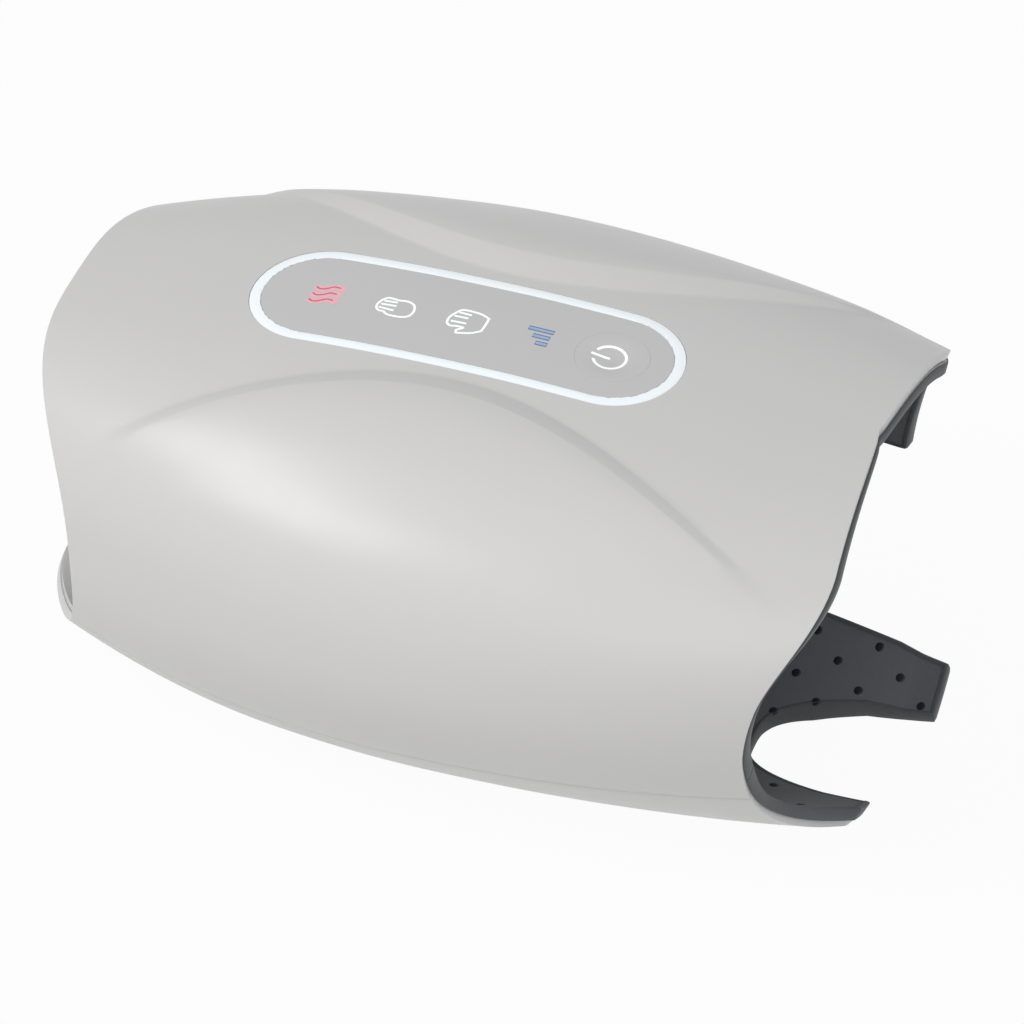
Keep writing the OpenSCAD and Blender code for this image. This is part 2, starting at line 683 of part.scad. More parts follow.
module battery() {
    color("steelblue") translate([batt_x, -batt_w / 2, tray_z + tray_t + seat / 2])
        cube([batt_l, batt_w, batt_t]);
}

// Main board: its place and size, its spacers, and its chips as place and size
mb_x = batt_x + batt_l + 2 * post_r + 2 * post_play + 0.2;
mb_l = 36;
mb_w = 34;
spacer_h = 2;
spacer_r = 1.8;
spacer_in = 3;
chips = [[[8, -8], [10, 10, 1.2]], [[23, -12], [6, 9, 1.6]], [[22, 4], [9, 6, 2]]];
module main_board() {
    z = tray_z + tray_t;
    color("seagreen") {
        translate([mb_x, -mb_w / 2, z + spacer_h]) cube([mb_l, mb_w, pcb_t]);
        for (x = [spacer_in, mb_l - spacer_in], s = [-1, 1])
            translate([mb_x + x, s * (mb_w / 2 - spacer_in), z + 2 * eps])
                cylinder(r = spacer_r, h = spacer_h + 0.1, $fn = 24);
    }
    color("black") for (c = chips)
        translate([mb_x + c[0][0], c[0][1], z + spacer_h + pcb_t - eps]) cube(c[1]);
}

module charge_port() {
    r = port_h / 2;
    color("silver") difference() {
        union() {
            translate([port_x, port_y, port_z]) rotate([90, 0, 0])
                for (s = [-1, 1]) translate([s * (port_w / 2 - r), 0, 0])
                    cylinder(r = r, h = port_len, $fn = 32);
            translate([port_x, port_y - port_len, port_z]) {
                translate([r - port_w / 2, 0, -r]) cube([port_w - 2 * r, port_len, port_h]);
                translate([-port_board_l / 2, eps - pcb_t, -port_board_h / 2])
                    cube([port_board_l, pcb_t, port_board_h]);
            }
        }
        translate([port_x - port_w / 2 + r, port_y - port_mouth, port_z - r + port_wall])
            cube([port_w - 2 * r, port_mouth + 1, port_h - 2 * port_wall]);
    }
}

// Pump: its axis runs along the body over the near shoulder of the tunnel
pump_x = 11;
pump_y = -(tray_w / 2 + head_w / 2 + 0.6);
pump_over = 12;
pump_z = roof_z + pump_over;
module on_pump_axis(x) {
    translate([x, pump_y, pump_z]) rotate([0, 90, 0]) children();
}
// Wall of the motor can
can_wall = 1.2;
module pump_motor() {
    color("silver") difference() {
        on_pump_axis(pump_x) cylinder(r = motor_r, h = motor_l, $fn = 64);
        on_pump_axis(pump_x + can_wall)
            cylinder(r = motor_r - can_wall, h = motor_l - 2 * can_wall, $fn = 64);
        on_pump_axis(pump_x - 1) cylinder(r = shaft_r + run_gap, h = motor_l + 2, $fn = 48);
    }
}
// Eccentric on the motor shaft: its radius, length and offset; and the winding's gap to the can
ecc_r = 3.4;
ecc_l = 5;
ecc_off = 1.5;
winding_gap = 1;
module pump_rotor() {
    color("goldenrod") {
        on_pump_axis(pump_x - ecc_l - 2) cylinder(r = shaft_r, h = motor_l + ecc_l + 3, $fn = 48);
        on_pump_axis(pump_x + 4) cylinder(r = motor_r - can_wall - winding_gap, h = motor_l - 8, $fn = 64);
        translate([0, 0, ecc_off]) on_pump_axis(pump_x - ecc_l - 1.2)
            cylinder(r = ecc_r, h = ecc_l, $fn = 48);
    }
}
// Length of the pump head's nipple, and the wall round the head's cavity
head_nipple_l = 5;
head_wall = 2.5;
module pump_head() {
    color("dimgray") difference() {
        union() {
            translate([pump_x - head_l - seat / 2, pump_y - head_w / 2, pump_z - head_w / 2])
                cube([head_l, head_w, head_w]);
            translate([pump_x - head_l - head_nipple_l, pump_y, pump_z]) rotate([0, 90, 0])
                cylinder(r = nipple_r, h = head_nipple_l + 1, $fn = 32);
        }
        on_pump_axis(pump_x - ecc_l - 4) cylinder(r = head_w / 2 - head_wall, h = ecc_l + 6, $fn = 64);
        on_pump_axis(pump_x - head_l - head_nipple_l - 1) cylinder(r = air_bore_r, h = 12, $fn = 24);
    }
}
// Rubber mounts: widths, depth under what they hold, and how far they reach up on it
pump_mount_w = 24;
valve_mount_w = 18;
mount_depth = 16;
pump_open = 3;
cradle_over = 5;
module pump_cradle() {
    x0 = pump_x - head_l - 1;
    l = head_l + motor_l + 2;
    color("dimgray") difference() {
        intersection() {
            translate([x0, pump_y - pump_mount_w / 2, pump_z - motor_r - mount_depth])
                cube([l, pump_mount_w, mount_depth + motor_r - pump_open]);
            skin_core(wall + seat, x0 - core_over / 2, x0 + l + core_over / 2);
        }
        tunnel_core(seat, x0 - core_over, x0 + l + core_over);
        on_pump_axis(pump_x - 0.5) cylinder(r = motor_r + slide_gap, h = motor_l + 4, $fn = 64);
        translate([x0 - 1, pump_y - head_w / 2 - slide_gap, pump_z - head_w / 2 - slide_gap])
            cube([head_l + 2, head_w + 2 * slide_gap, head_w + 2]);
    }
}

// Two valves over the far shoulder of the tunnel, end to end, with a short hose between them
// Middle between the valves, the gap between them, and their place over the tunnel
valve_mid = -2;
valve_gap = 8;
valve_y = tray_w / 2 + valve_w / 2 + 6;
valve_over = 7.6;
valve_z = roof_z + valve_over;
plunger_l = 12;
// Distance of the fill valve's top nipple from its end
valve_nipple_in = 5;
// Radius and length of a nipple, and radius of the air bores
nipple_r = 1.4;
nipple_l = 3;
air_bore_r = 0.8;
module at_valves() {
    for (s = [-1, 1])
        translate([valve_mid + s * valve_gap / 2, valve_y, valve_z]) rotate([0, 90 * s, 0]) children();
}
module valve_bodies() {
    color("lightgray") {
        at_valves() difference() {
            union() {
                translate([-valve_w / 2, -valve_w / 2, 0]) cube([valve_w, valve_w, valve_l]);
                translate([0, 0, -nipple_l]) cylinder(r = nipple_r, h = nipple_l + eps, $fn = 32);
            }
            translate([0, 0, valve_l - plunger_l])
                cylinder(r = plunger_r + run_gap, h = plunger_l + 1, $fn = 48);
            translate([0, 0, -nipple_l - 1]) cylinder(r = air_bore_r, h = valve_l, $fn = 24);
        }
    }
    color("lightgray")
        translate([valve_mid - valve_gap / 2 - valve_nipple_in, valve_y, valve_z + valve_w / 2 - eps])
            cylinder(r = nipple_r, h = nipple_l, $fn = 32);
}
module plunger(s) {
    color("silver") translate([valve_mid + s * valve_gap / 2, valve_y, valve_z]) rotate([0, 90 * s, 0])
        translate([0, 0, valve_l - plunger_l + plunger_travel + 0.2])
            cylinder(r = plunger_r, h = plunger_l, $fn = 48);
}
module fill_plunger() {
    plunger(-1);
}
module vent_plunger() {
    plunger(1);
}
module valve_cradle() {
    x0 = valve_mid - valve_gap / 2 - valve_l - 1;
    l = valve_gap + 2 * valve_l + 2;
    color("dimgray") difference() {
        intersection() {
            translate([x0, valve_y - valve_mount_w / 2, valve_z - valve_w / 2 - mount_depth])
                cube([l, valve_mount_w, mount_depth + cradle_over]);
            skin_core(wall + seat, x0 - core_over / 2, x0 + l + core_over / 2);
        }
        tunnel_core(seat, x0 - core_over, x0 + l + core_over);
        translate([valve_mid, valve_y, valve_z]) for (s = [-1, 1])
            translate([s > 0 ? valve_gap / 2 - slide_gap : -valve_gap / 2 - valve_l - slide_gap,
                -valve_w / 2 - slide_gap, -valve_w / 2 - slide_gap])
                cube([valve_l + 2 * slide_gap, valve_w + 2 * slide_gap, valve_w + 2]);
        translate([x0 - 5, valve_y, valve_z]) rotate([0, 90, 0]) cylinder(r = 3, h = l + 10, $fn = 32);
    }
}

// Nipple places: lower hose, valve hose and pump hose along the body, upper hose across it
man_port_x = [man_x + 3.2, man_x + man_l - 3.2];
man_port_y = man_w / 2 - 2.6;
// The bore across is narrower than those that it meets
cross_bore_r = 0.6;
module air_manifold() {
    mid = man_z + man_h / 2;
    color("dimgray") difference() {
        union() {
            translate([man_x, -man_w / 2, man_z]) cube([man_l, man_w, man_h]);
            for (x = man_port_x) translate([x, man_w / 2 - eps, mid]) rotate([-90, 0, 0])
                cylinder(r = nipple_r, h = nipple_l, $fn = 24);
            translate([man_port_x[1], -man_w / 2 + eps, mid]) rotate([90, 0, 0])
                cylinder(r = nipple_r, h = nipple_l, $fn = 24);
            translate([man_x + man_l - eps, man_port_y, mid]) rotate([0, 90, 0])
                cylinder(r = nipple_r, h = nipple_l, $fn = 24);
        }
        translate([man_port_x[1], -man_w / 2 - nipple_l - 1, mid]) rotate([-90, 0, 0])
            cylinder(r = air_bore_r, h = man_w + 2 * nipple_l + 2, $fn = 24);
        translate([man_port_x[0], man_port_y - 2.3, mid]) rotate([-90, 0, 0])
            cylinder(r = air_bore_r, h = man_w, $fn = 24);
        translate([man_port_x[0], man_port_y, mid]) rotate([0, 90, 0])
            cylinder(r = cross_bore_r, h = man_l + nipple_l, $fn = 24);
    }
}

// Tube along a hand-chosen route, smoothed between its points
function route_pt(p, i, t) = let(n = len(p) - 1, a = p[max(0, i - 1)], b = p[i], c = p[i + 1],
    d = p[min(n, i + 2)]) 0.5 * (2 * b + (c - a) * t + (2 * a - 5 * b + 4 * c - d) * t * t
    + (3 * b - a - 3 * c + d) * t * t * t);
function smooth_route(p) = concat([for (i = [0 : len(p) - 2], t = [0 : 0.25 : 0.99]) route_pt(p, i, t)],
    [p[len(p) - 1]]);
function unit(v) = v / norm(v);
module tube(p, r, up) {
    q = smooth_route(p);
    n = len(q) - 1;
    stack([for (i = [0 : n])
        let(d = unit(q[min(n, i + 1)] - q[max(0, i - 1)]), s = unit(cross(d, up)), v = cross(s, d))
        [for (j = [0 : 9]) q[i] + r * (cos(36 * j) * s + sin(36 * j) * v)]]);
}
// Gap between a hose and the nipple or cell that it meets
hose_gap = 0.5;
hose_z = man_z + man_h / 2;
hose_y = man_w / 2 + nipple_l + hose_gap;
// Straight run of a hose before its first bend, and its place on the way out to the side
hose_run = 7.5;
hose_side = hose_y + 15.5;
// Middle of the pocket between the far wall and the tunnel, at a ring angle
function pocket_pt(x, a) = (skin_pt(x, -a, wall) + frame_pt(x, -a, 0)) / 2;
module pump_hose() {
    x = pump_x - head_l - head_nipple_l - hose_gap;
    color("white") tube([[x, pump_y, pump_z], [x - hose_run, pump_y, pump_z],
        [x - 21.5, pump_y + 0.6, pump_z + 3.6], [x - 30.5, -hose_side, hose_z - 1],
        [man_port_x[1], -hose_y - hose_run, hose_z], [man_port_x[1], -hose_y, hose_z]], hose_r, [0, 0, 1]);
}
module upper_hose() {
    x = man_x + man_l + nipple_l + hose_gap;
    color("white") tube([[x, man_port_y, hose_z], [x + hose_run, man_port_y, hose_z],
        [cell_port[0], cell_port[1], hose_z - 1],
        [cell_port[0], cell_port[1], ucell_z + cell_t + 2 * hose_gap]],
        hose_r, [0, 1, 0]);
}
module lower_hose() {
    color("white") tube([[man_port_x[0], hose_y, hose_z], [man_port_x[0], hose_y + hose_run, hose_z],
        [man_x + 4, hose_side, hose_z], [man_x + 7, hose_side + 6, hose_z - 5],
        pocket_pt(-50, 53), pocket_pt(-46, 70), pocket_pt(-44, 88), pocket_pt(-42, 106),
        pocket_pt(-40, 122), pocket_pt(-38, 138),
        [-37, cushion_w / 2 + 4, lcell_z + cell_t / 2],
        [-36, cushion_w / 2 - cell_in + hose_gap, lcell_z + cell_t / 2]], hose_r, [1, 0, 0]);
}
module valve_hoses() {
    x = valve_mid - valve_gap / 2 - valve_nipple_in;
    color("white") {
        tube([[man_port_x[1], hose_y, hose_z], [man_port_x[1], hose_y + hose_run - 2, hose_z],
            [man_port_x[1] + 11, hose_side, hose_z + 3], [x - 17, valve_y - 5, hose_z + 3],
            [x - 5, valve_y - 1, hose_z + 2], [x, valve_y, hose_z - 1],
            [x, valve_y, valve_z + valve_w / 2 + nipple_l + hose_gap]], hose_r, [0.3, 1, 0]);
        translate([valve_mid - valve_gap / 2 + seat, valve_y, valve_z]) rotate([0, 90, 0]) difference() {
            cylinder(r = hose_r + 0.3, h = valve_gap - 2 * seat, $fn = 32);
            translate([0, 0, -1]) cylinder(r = nipple_r + run_gap, h = valve_gap + 2, $fn = 32);
        }
    }
}

// Upper and lower inner frame, both with a window for the cushion
frame_rows = 20;
// How far the frames lie back from the rear rim
rim_back = 1.2;
frame_lines = [0, 14, 26, 35.5, corner_a, 51, 60, 71, 83, 94.5, thumb_a[0], thumb_a[0] + thumb_ease,
    frame_part_a - part_gap];
lower_lines = [frame_part_a + part_gap, 122, 132.5, thumb_a[1], thumb_end_a, 146.5, far_tip_a, near_tip_a,
    156, tip_in_a, notch_a, 165, 169, 173.5, 180];
// Play of a cushion in the windows of a frame and of a lining
frame_play = 1;
lining_play = 0.4;
module frame_sheet(lines, d, t, first) {
    vs = shares(frame_rows);
    function rows(d) = [for (i = [first : frame_rows - 1])
        [for (a = lines) frame_pt(along(signed(a), vs[i], rim_back), a, d)]];
    sheet(rows(d), rows(d + t));
}
module cushion_window(z0, z1, gap) {
    translate([-cushion_l / 2 - gap, -cushion_w / 2 - gap, z0])
        cube([cushion_l + 2 * gap, cushion_w + 2 * gap, z1 - z0]);
}
module upper_frame() {
    color("gray") difference() {
        frame_sheet(mirrored(frame_lines), 0, frame_t, 0);
        cushion_window(roof_z - 8, roof_z + 20, frame_play);
    }
}
module lower_frame() {
    color("gray") difference() {
        frame_sheet(around_floor(lower_lines), 0, frame_t, 0);
        cushion_window(floor_top - 20, floor_top + 8, frame_play);
    }
}
// The lining starts at this row of the frames
lining_row = 4;
module upper_lining() {
    color("darkslategray") difference() {
        frame_sheet(mirrored(frame_lines), frame_t + lining_gap, lining_t, lining_row);
        cushion_window(roof_z - 8, roof_z + 20, lining_play);
    }
}
module lower_lining() {
    color("darkslategray") difference() {
        frame_sheet(around_floor(lower_lines), frame_t + lining_gap, lining_t, lining_row);
        cushion_window(floor_top - 20, floor_top + 8, lining_play);
    }
}

// Rows of points on a cushion, its crown, the depth of its middle seam, and how far its face draws in
cush_rows = 14;
cush_crown = 3;
cush_seam = 0.7;
cush_draw = 1.2;
function cush_in(v) = pow(abs(2 * v - 1), 6);
// Cushion with a crowned face and drawn-in sides; face up for s = 1, down for s = -1
module cushion(z0, s) {
    n = cush_rows;
    function px(i) = mix(-cushion_l / 2, cushion_l / 2, i / n);
    function py(j) = mix(-cushion_w / 2, cushion_w / 2, j / n);
    function face(i, j) = cushion_t
        - cush_crown * (pow(abs(2 * i / n - 1), 3) + pow(abs(2 * j / n - 1), 3)) / 1.4
        - cush_seam * exp(-pow((i - n / 2) / 0.6, 2)) - cush_draw * (cush_in(i / n) + cush_in(j / n));
    k = 1 - cush_draw / 60;
    mirror([0, 0, s < 0 ? 1 : 0]) translate([0, 0, s < 0 ? -z0 - cushion_t : z0]) sheet(
        [for (i = [n : -1 : 0]) [for (j = [0 : n]) [px(i) * k, py(j) * k, face(i, j)]]],
        [for (i = [n : -1 : 0]) [for (j = [0 : n]) [px(i), py(j), 0]]]);
}
module upper_cushion() {
    color("darkslategray") cushion(ucush_z, -1);
}
module lower_cushion() {
    color("darkslategray") cushion(lcush_z, 1);
}
// How far the cells and the heating film lie in from a cushion's edges
cell_in = 4;
film_in = 6;
module under_cushion(inset, z, h) {
    translate([inset - cushion_l / 2, inset - cushion_w / 2, z])
        cube([cushion_l - 2 * inset, cushion_w - 2 * inset, h]);
}
module upper_cell() {
    color("lightblue") under_cushion(cell_in, ucell_z, cell_t);
}
module lower_cell() {
    color("lightblue") under_cushion(cell_in, lcell_z, cell_t);
}
module heat_film() {
    color("orange") under_cushion(film_in, lcush_z - film_t, film_t - 2 * eps);
}

upper_shell();
base_shell();
panel();
ring_light();
power_key();
key_switch();
touch_board();
touch_springs();
main_board();
charge_port();
battery();
tray();
lower_tray();
pump_motor();
pump_rotor();
pump_head();
pump_cradle();
valve_bodies();
fill_plunger();
vent_plunger();
valve_cradle();
air_manifold();
pump_hose();
valve_hoses();
upper_hose();
lower_hose();
upper_frame();
lower_frame();
upper_lining();
lower_lining();
upper_cell();
lower_cell();
upper_cushion();
lower_cushion();
heat_film();
feet();
case_screws();
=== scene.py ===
"""Cordless hand massager: the dressed model of the grey-white sleeve, its lit panel and its fabric lining.

Sizes are in millimetres until a mesh is made. A ring angle of 0 is the top of the sleeve, 90 degrees its near
side (-Y) and 180 its floor, and +X points to the mouth that the hand goes into."""

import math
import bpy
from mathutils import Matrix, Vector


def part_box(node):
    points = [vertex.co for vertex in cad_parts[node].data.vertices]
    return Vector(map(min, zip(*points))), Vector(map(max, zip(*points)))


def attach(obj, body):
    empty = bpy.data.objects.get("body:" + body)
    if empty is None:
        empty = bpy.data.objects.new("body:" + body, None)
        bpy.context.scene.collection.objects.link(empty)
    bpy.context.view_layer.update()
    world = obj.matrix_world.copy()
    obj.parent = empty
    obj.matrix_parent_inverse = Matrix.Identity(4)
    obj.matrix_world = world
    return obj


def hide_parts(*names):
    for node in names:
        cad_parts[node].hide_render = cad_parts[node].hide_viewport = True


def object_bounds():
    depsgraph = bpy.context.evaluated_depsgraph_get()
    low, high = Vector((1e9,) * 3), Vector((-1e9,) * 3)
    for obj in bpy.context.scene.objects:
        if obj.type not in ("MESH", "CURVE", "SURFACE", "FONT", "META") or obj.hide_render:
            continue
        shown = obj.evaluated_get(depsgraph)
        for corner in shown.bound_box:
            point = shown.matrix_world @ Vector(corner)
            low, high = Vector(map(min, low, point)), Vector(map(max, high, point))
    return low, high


bl_info = {
    "name": "Hand Massager",
    "version": (1, 0, 0),
    "blender": (4, 5, 0),
    "location": "View3D > Sidebar > Massager",
    "description": "Builds a cordless hand massager with its panel, lining, cushions and studio",
    "category": "Add Mesh",
}

import bpy
import numpy as np
from mathutils import Matrix, Quaternion, Vector

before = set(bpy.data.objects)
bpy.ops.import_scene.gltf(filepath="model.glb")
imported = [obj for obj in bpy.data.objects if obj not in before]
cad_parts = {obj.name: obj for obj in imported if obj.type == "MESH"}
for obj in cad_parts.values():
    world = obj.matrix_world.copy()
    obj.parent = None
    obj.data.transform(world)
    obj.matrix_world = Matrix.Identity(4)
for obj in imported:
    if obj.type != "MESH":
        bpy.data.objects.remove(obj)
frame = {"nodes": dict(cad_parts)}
CAD_BOX = [list(corner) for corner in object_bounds()]
CAD_SPAN = [(high - low) * 1000 for low, high in zip(*CAD_BOX)]
MM = 0.001


def size(name, text, value):
    """A length in millimetres that a user would change."""
    return bpy.props.FloatProperty(name=name, description=text, default=value)


def colour(name, text, value):
    """A colour that a user would change."""
    return bpy.props.FloatVectorProperty(name=name, description=text, subtype="COLOR", default=value)


class BodySizes(bpy.types.PropertyGroup):
    """Driving sizes of the sleeve, in millimetres"""

    length: size("Length", "Overall length", CAD_SPAN[0])
    width: size("Width", "Width at the widest station", 156.0)
    height: size("Height", "Height of the top line", 119.0)
    rear_width: size("Rear width", "Width at the rear end", 89.0)
    front_width: size("Front width", "Width at the front end", 116.0)
    rear_drop: size("Rear drop", "Fall of the top line behind", 14.0)
    front_drop: size("Front drop", "Fall of the top line in front", 5.5)
    rear_lift: size("Rear lift", "Rise of the floor line behind", 14.0)
    front_lift: size("Front lift", "Rise of the floor line in front", 4.0)
    wall: size("Wall", "Wall of the outer shells", 2.0)
    base_flat: size("Flat floor", "Height of the flat floor", 2.5)
    rear_top: size("Rear top rim", "Rear rim at the top", 106.0)
    rear_side: size("Rear side rim", "Rear rim at the sides", 86.0)
    mouth_top: size("Mouth top rim", "Mouth rim at the top", 101.5)
    corner_out: size("Corner", "Stand-out of the mouth corners", 3.5)
    mouth_side: size("Mouth side rim", "Mouth rim at the sides", 89.5)
    notch: size("Notch", "End of the U-shaped cut", 72.0)
    near_tip: size("Near prong", "Tip of the near prong", 108.0)
    thumb: size("Thumb opening", "End of the thumb opening", 75.0)
    petal: size("Petal", "Height of the petal edge", 3.2)


class PanelSizes(bpy.types.PropertyGroup):
    """Sizes of the panel on top, in millimetres"""

    ring_length: size("Ring length", "Overall length", 110.6)
    ring_width: size("Ring width", "Overall width", 35.5)
    ring_band: size("Ring band", "Width of the lit band", 2.8)
    ring_x: size("Ring place", "Middle of the ring", -3.5)
    pitch: size("Symbol pitch", "From one symbol to the next", 18.5)
    key_radius: size("Key radius", "Radius of the power key", 9.2)
    key_dish: size("Key dish", "Depth of the dish in the key", 0.9)
    thickness: size("Thickness", "Panel and ring thickness", 1.4)


class TunnelSizes(bpy.types.PropertyGroup):
    """Sizes of the tunnel that the hand goes into, in millimetres"""

    frame: size("Frame", "Thickness of the inner frames", 1.4)
    frame_gap: size("Frame gap", "Gap to the shells", 0.7)
    lining: size("Lining", "Thickness of the fabric", 1.2)
    roof_depth: size("Roof depth", "Space over the tunnel", 30.0)
    floor_depth: size("Floor depth", "Space under the tunnel", 26.0)
    side_depth: size("Side depth", "Space beside the tunnel", 16.0)
    dot_radius: size("Dot radius", "Radius of a grip dot", 1.25)


class Finishes(bpy.types.PropertyGroup):
    """Colours that a user would change"""

    shell: colour("Shell", "Grey-white casing", (0.60, 0.59, 0.58))
    panel: colour("Panel", "Touch panel", (0.55, 0.545, 0.54))
    fabric: colour("Fabric", "Slate lining", (0.13, 0.14, 0.147))
    frame: colour("Frame", "Inner frames", (0.6, 0.595, 0.59))
    light: colour("Light", "Lit ring and white symbols", (0.885, 0.93, 0.95))


def body():
    """The sleeve's driving sizes."""
    return bpy.context.scene.massager_body


def panel():
    """The panel's driving sizes."""
    return bpy.context.scene.massager_panel


def tunnel():
    """The tunnel's driving sizes."""
    return bpy.context.scene.massager_tunnel


def finish_colour(name):
    """One of the colours, as numbers."""
    return tuple(getattr(bpy.context.scene.massager_finishes, name))


# Stations along the body: where it is widest and highest, and where the level floor begins and ends
WIDE_X = 6.0
PEAK_X = 10.5
LEVEL_REAR_X = -35.5
LEVEL_FRONT_X = 63.5

# Powers by which the width, the top line and the floor line go to the rear and to the front
WIDTH_POWERS = (1.9, 2.2)
TOP_POWERS = (2.3, 1.4)
FLOOR_POWERS = (1.9, 3.1)

# The waist, where the top half of a section meets its floor half, and the roundness of the sections
WAIST_DROP = 50.2
WAIST_SLOPE = 0.07
REAR_ROUND = 3.1
FRONT_ROUND = 2.25
FLOOR_ROUND = 1.9

# The petal's crease: where it is nearest to the middle line, how near, how far it opens, and the widths of its bell
# behind and in front; its slope's least and greatest half width and the softness of its ends; the petal's middle,
# its reach from there, and the ring angle over which it dies away
CREASE_X = 1.0
CREASE_Y = 24.3
CREASE_OPEN = 45.0
CREASE_BELL = (82.5, 87.2)
SLOPE_HALF = (1.1, 3.1)
SLOPE_SOFT = 0.04
PETAL_X = 3.0
PETAL_REACH = 95.0
PETAL_FADE_A = 34.0

# Ring angles of the mouth's rim: the pointed corner, the deepest place of the near side, the thumb opening with
# the end of its root, the tips of the prongs and the sides of the U-shaped cut
CORNER_A = 43.5
DEEP_A = 107.0
THUMB_A = (104.5, 145.0)
THUMB_END_A = 146.0
FAR_TIP_A = 147.8
NEAR_TIP_A = 152.0
TIP_IN_A = 160.5
NOTCH_A = 162.0

# Ring angles where the two shells and the two frames part, and half the seam between them
PART_A = 118.0
FRAME_PART_A = 112.0
SEAM = 0.1

# Lengths at the rims: flare of the cut, third cosine of the rear rim, ease into the thumb opening (in degrees),
# station of its root, how far the far wall stands out, what the outer layers leave free at the near prong's tip,
# the round of the shells' edge, and the share by which the floor sags at the near prong
NOTCH_FLARE = 24.0
REAR_SKEW = 1.6
THUMB_EASE = 1.5
THUMB_STEP = (THUMB_A[0], THUMB_A[0] + THUMB_EASE)
THUMB_ROOT_X = 100.0
FAR_SIDE_OUT = 2.0
SHELL_TRIM = 3.0
SHELL_EDGE = 0.45
FRAME_TRIM = 2.0
NEAR_SAG = 0.55

# The frames: their seat on the shell at the prongs and at the rear, their distance to the lining, how far they
# end behind the rear and the mouth's rim, and where their rows stand square
SEAT = 0.25
TAIL_GAP = 0.1
LINING_GAP = 0.35
RIM_BACK = 1.2
FRONT_BACK = 0.3
SQUARE_X = (-64.0, 44.0)
ROW_SHARE = (0.24, 0.44, 0.32)
LINING_START = 4 / 19
WINDOW = (42.0, 32.0)

# Screws, feet and charging socket
SCREW_X = (-12.0, 36.0)
SCREW_Y = 12.0
RECESS_R = 3.15
FOOT_X = (-28.0, 52.0)
FOOT_Y = 11.0
FOOT_R = 5.5
PORT_X = -60.0
PORT_Z = 62.0
PORT_R = 1.6
PORT_HALF = 2.9

# The panel and the ring lie this much under the strip; the key's middle, and its symbol's offset from there
PANEL_SINK = 0.2
RING_SINK = 0.1
KEY_X = 34.0
MARK_X = -0.7

# Steps round the end of the panel and along its straight, and rings of points in its plates
HALF_TURN = 48
STRAIGHT = 40
PLATE_RINGS = 10


def ease(v):
    """Three v squared minus two v cubed, with v held between 0 and 1."""
    c = np.clip(v, 0, 1)
    return c * c * (3 - 2 * c)


def mix(a, b, v):
    """The value at share v of the way from a to b."""
    return a + (b - a) * v


def part_of(x, a, b):
    """How far x lies past a on the way to b, and 0 before a."""
    return np.maximum(0, (x - a) / (b - a))


def half_width(x):
    """Half the width at a station: the middle width less a power of the way to each end."""
    s = body()
    mid, end = s.width / 2, s.length / 2
    return (mid - (mid - s.rear_width / 2) * part_of(x, WIDE_X, -end) ** WIDTH_POWERS[0]
            - (mid - s.front_width / 2) * part_of(x, WIDE_X, end) ** WIDTH_POWERS[1])


def top_line(x):
    """Height of the top line: the full height less a power of the way to each end."""
    s = body()
    return (s.height - s.rear_drop * part_of(x, PEAK_X, -s.length / 2) ** TOP_POWERS[0]
            - s.front_drop * part_of(x, PEAK_X, s.length / 2) ** TOP_POWERS[1])


def floor_line(x, a):
    """Height of the floor line: level in the middle, and rising as a power at both ends, less so at the near
    prong, by a share that comes and goes smoothly round the section."""
    s = body()
    near = NEAR_SAG * ease((a - 100) / 35) * ease((178 - a) / 16)
    return (s.rear_lift * part_of(x, LEVEL_REAR_X, -s.length / 2) ** FLOOR_POWERS[0]
            + s.front_lift * part_of(x, LEVEL_FRONT_X, s.length / 2) ** FLOOR_POWERS[1] * (1 - near))


def waist_line(x):
    """Height at which the top half of a section meets its floor half: a straight line along the body."""
    return body().height - WAIST_DROP + WAIST_SLOPE * x


def top_round(x):
    """Exponent of the section's top half, going evenly from the rear's to the front's."""
    return mix(REAR_ROUND, FRONT_ROUND, np.clip(x / body().length + 0.5, 0, 1))


def ring_point(x, a, w, t, b, m, n, nb):
    """Super-ellipse section: y is w times a power of sin a, and z leaves the waist m towards the top t or the
    floor b by a power of cos a. The powers are 2 / n above the waist and 2 / nb under it."""
    c, s = np.cos(np.radians(a)), np.sin(np.radians(a))
    k = 2 / np.where(c >= 0, n, nb)
    y = -w * np.sign(s) * np.abs(s) ** k
    z = m + np.where(c >= 0, t - m, b - m) * np.abs(c) ** k
    return np.stack(np.broadcast_arrays(x, y, z), -1)


def plain_point(x, a, d):
    """Outer surface moved in by d, before the petals and the flat floor."""
    return ring_point(x, a, half_width(x) - d, top_line(x) - d, floor_line(x, a) + d, waist_line(x),
                      top_round(x), FLOOR_ROUND)


def crease_line(x):
    """Distance of the petal edge from the middle line: a bell-shaped curve, opened wider behind than in front."""
    u = x - CREASE_X
    return CREASE_Y + CREASE_OPEN * (1 - np.exp(-(u / np.where(u < 0, *CREASE_BELL)) ** 2))


def crease_half(x):
    """Half the width of the slope at the petal edge, which narrows towards both ends."""
    return np.maximum(SLOPE_HALF[0], SLOPE_HALF[1] * (1 - 0.62 * (np.abs(x - CREASE_X) / 74) ** 1.7))


def petal_rise(x, a, y):
    """Height of the petal over the plain surface: a slope with softly rounded ends across the crease, which
    dies away down the side, from further down towards the ends of the sleeve, and towards both ends."""
    t = (np.abs(y) - crease_line(x)) / (2 * crease_half(x)) + 0.5
    slope = (np.hypot(t, SLOPE_SOFT) - np.hypot(t - 1, SLOPE_SOFT) + 1) / 2
    lengthwise = np.clip(1 - ((x - PETAL_X) / PETAL_REACH) ** 2, 0, 1) ** 0.8
    start = 12 + 20 * np.clip(np.abs(x - CREASE_X) / 80, 0, 1) ** 2
    return body().petal * slope * lengthwise * (1 - ease((np.abs(a) - start) / PETAL_FADE_A))


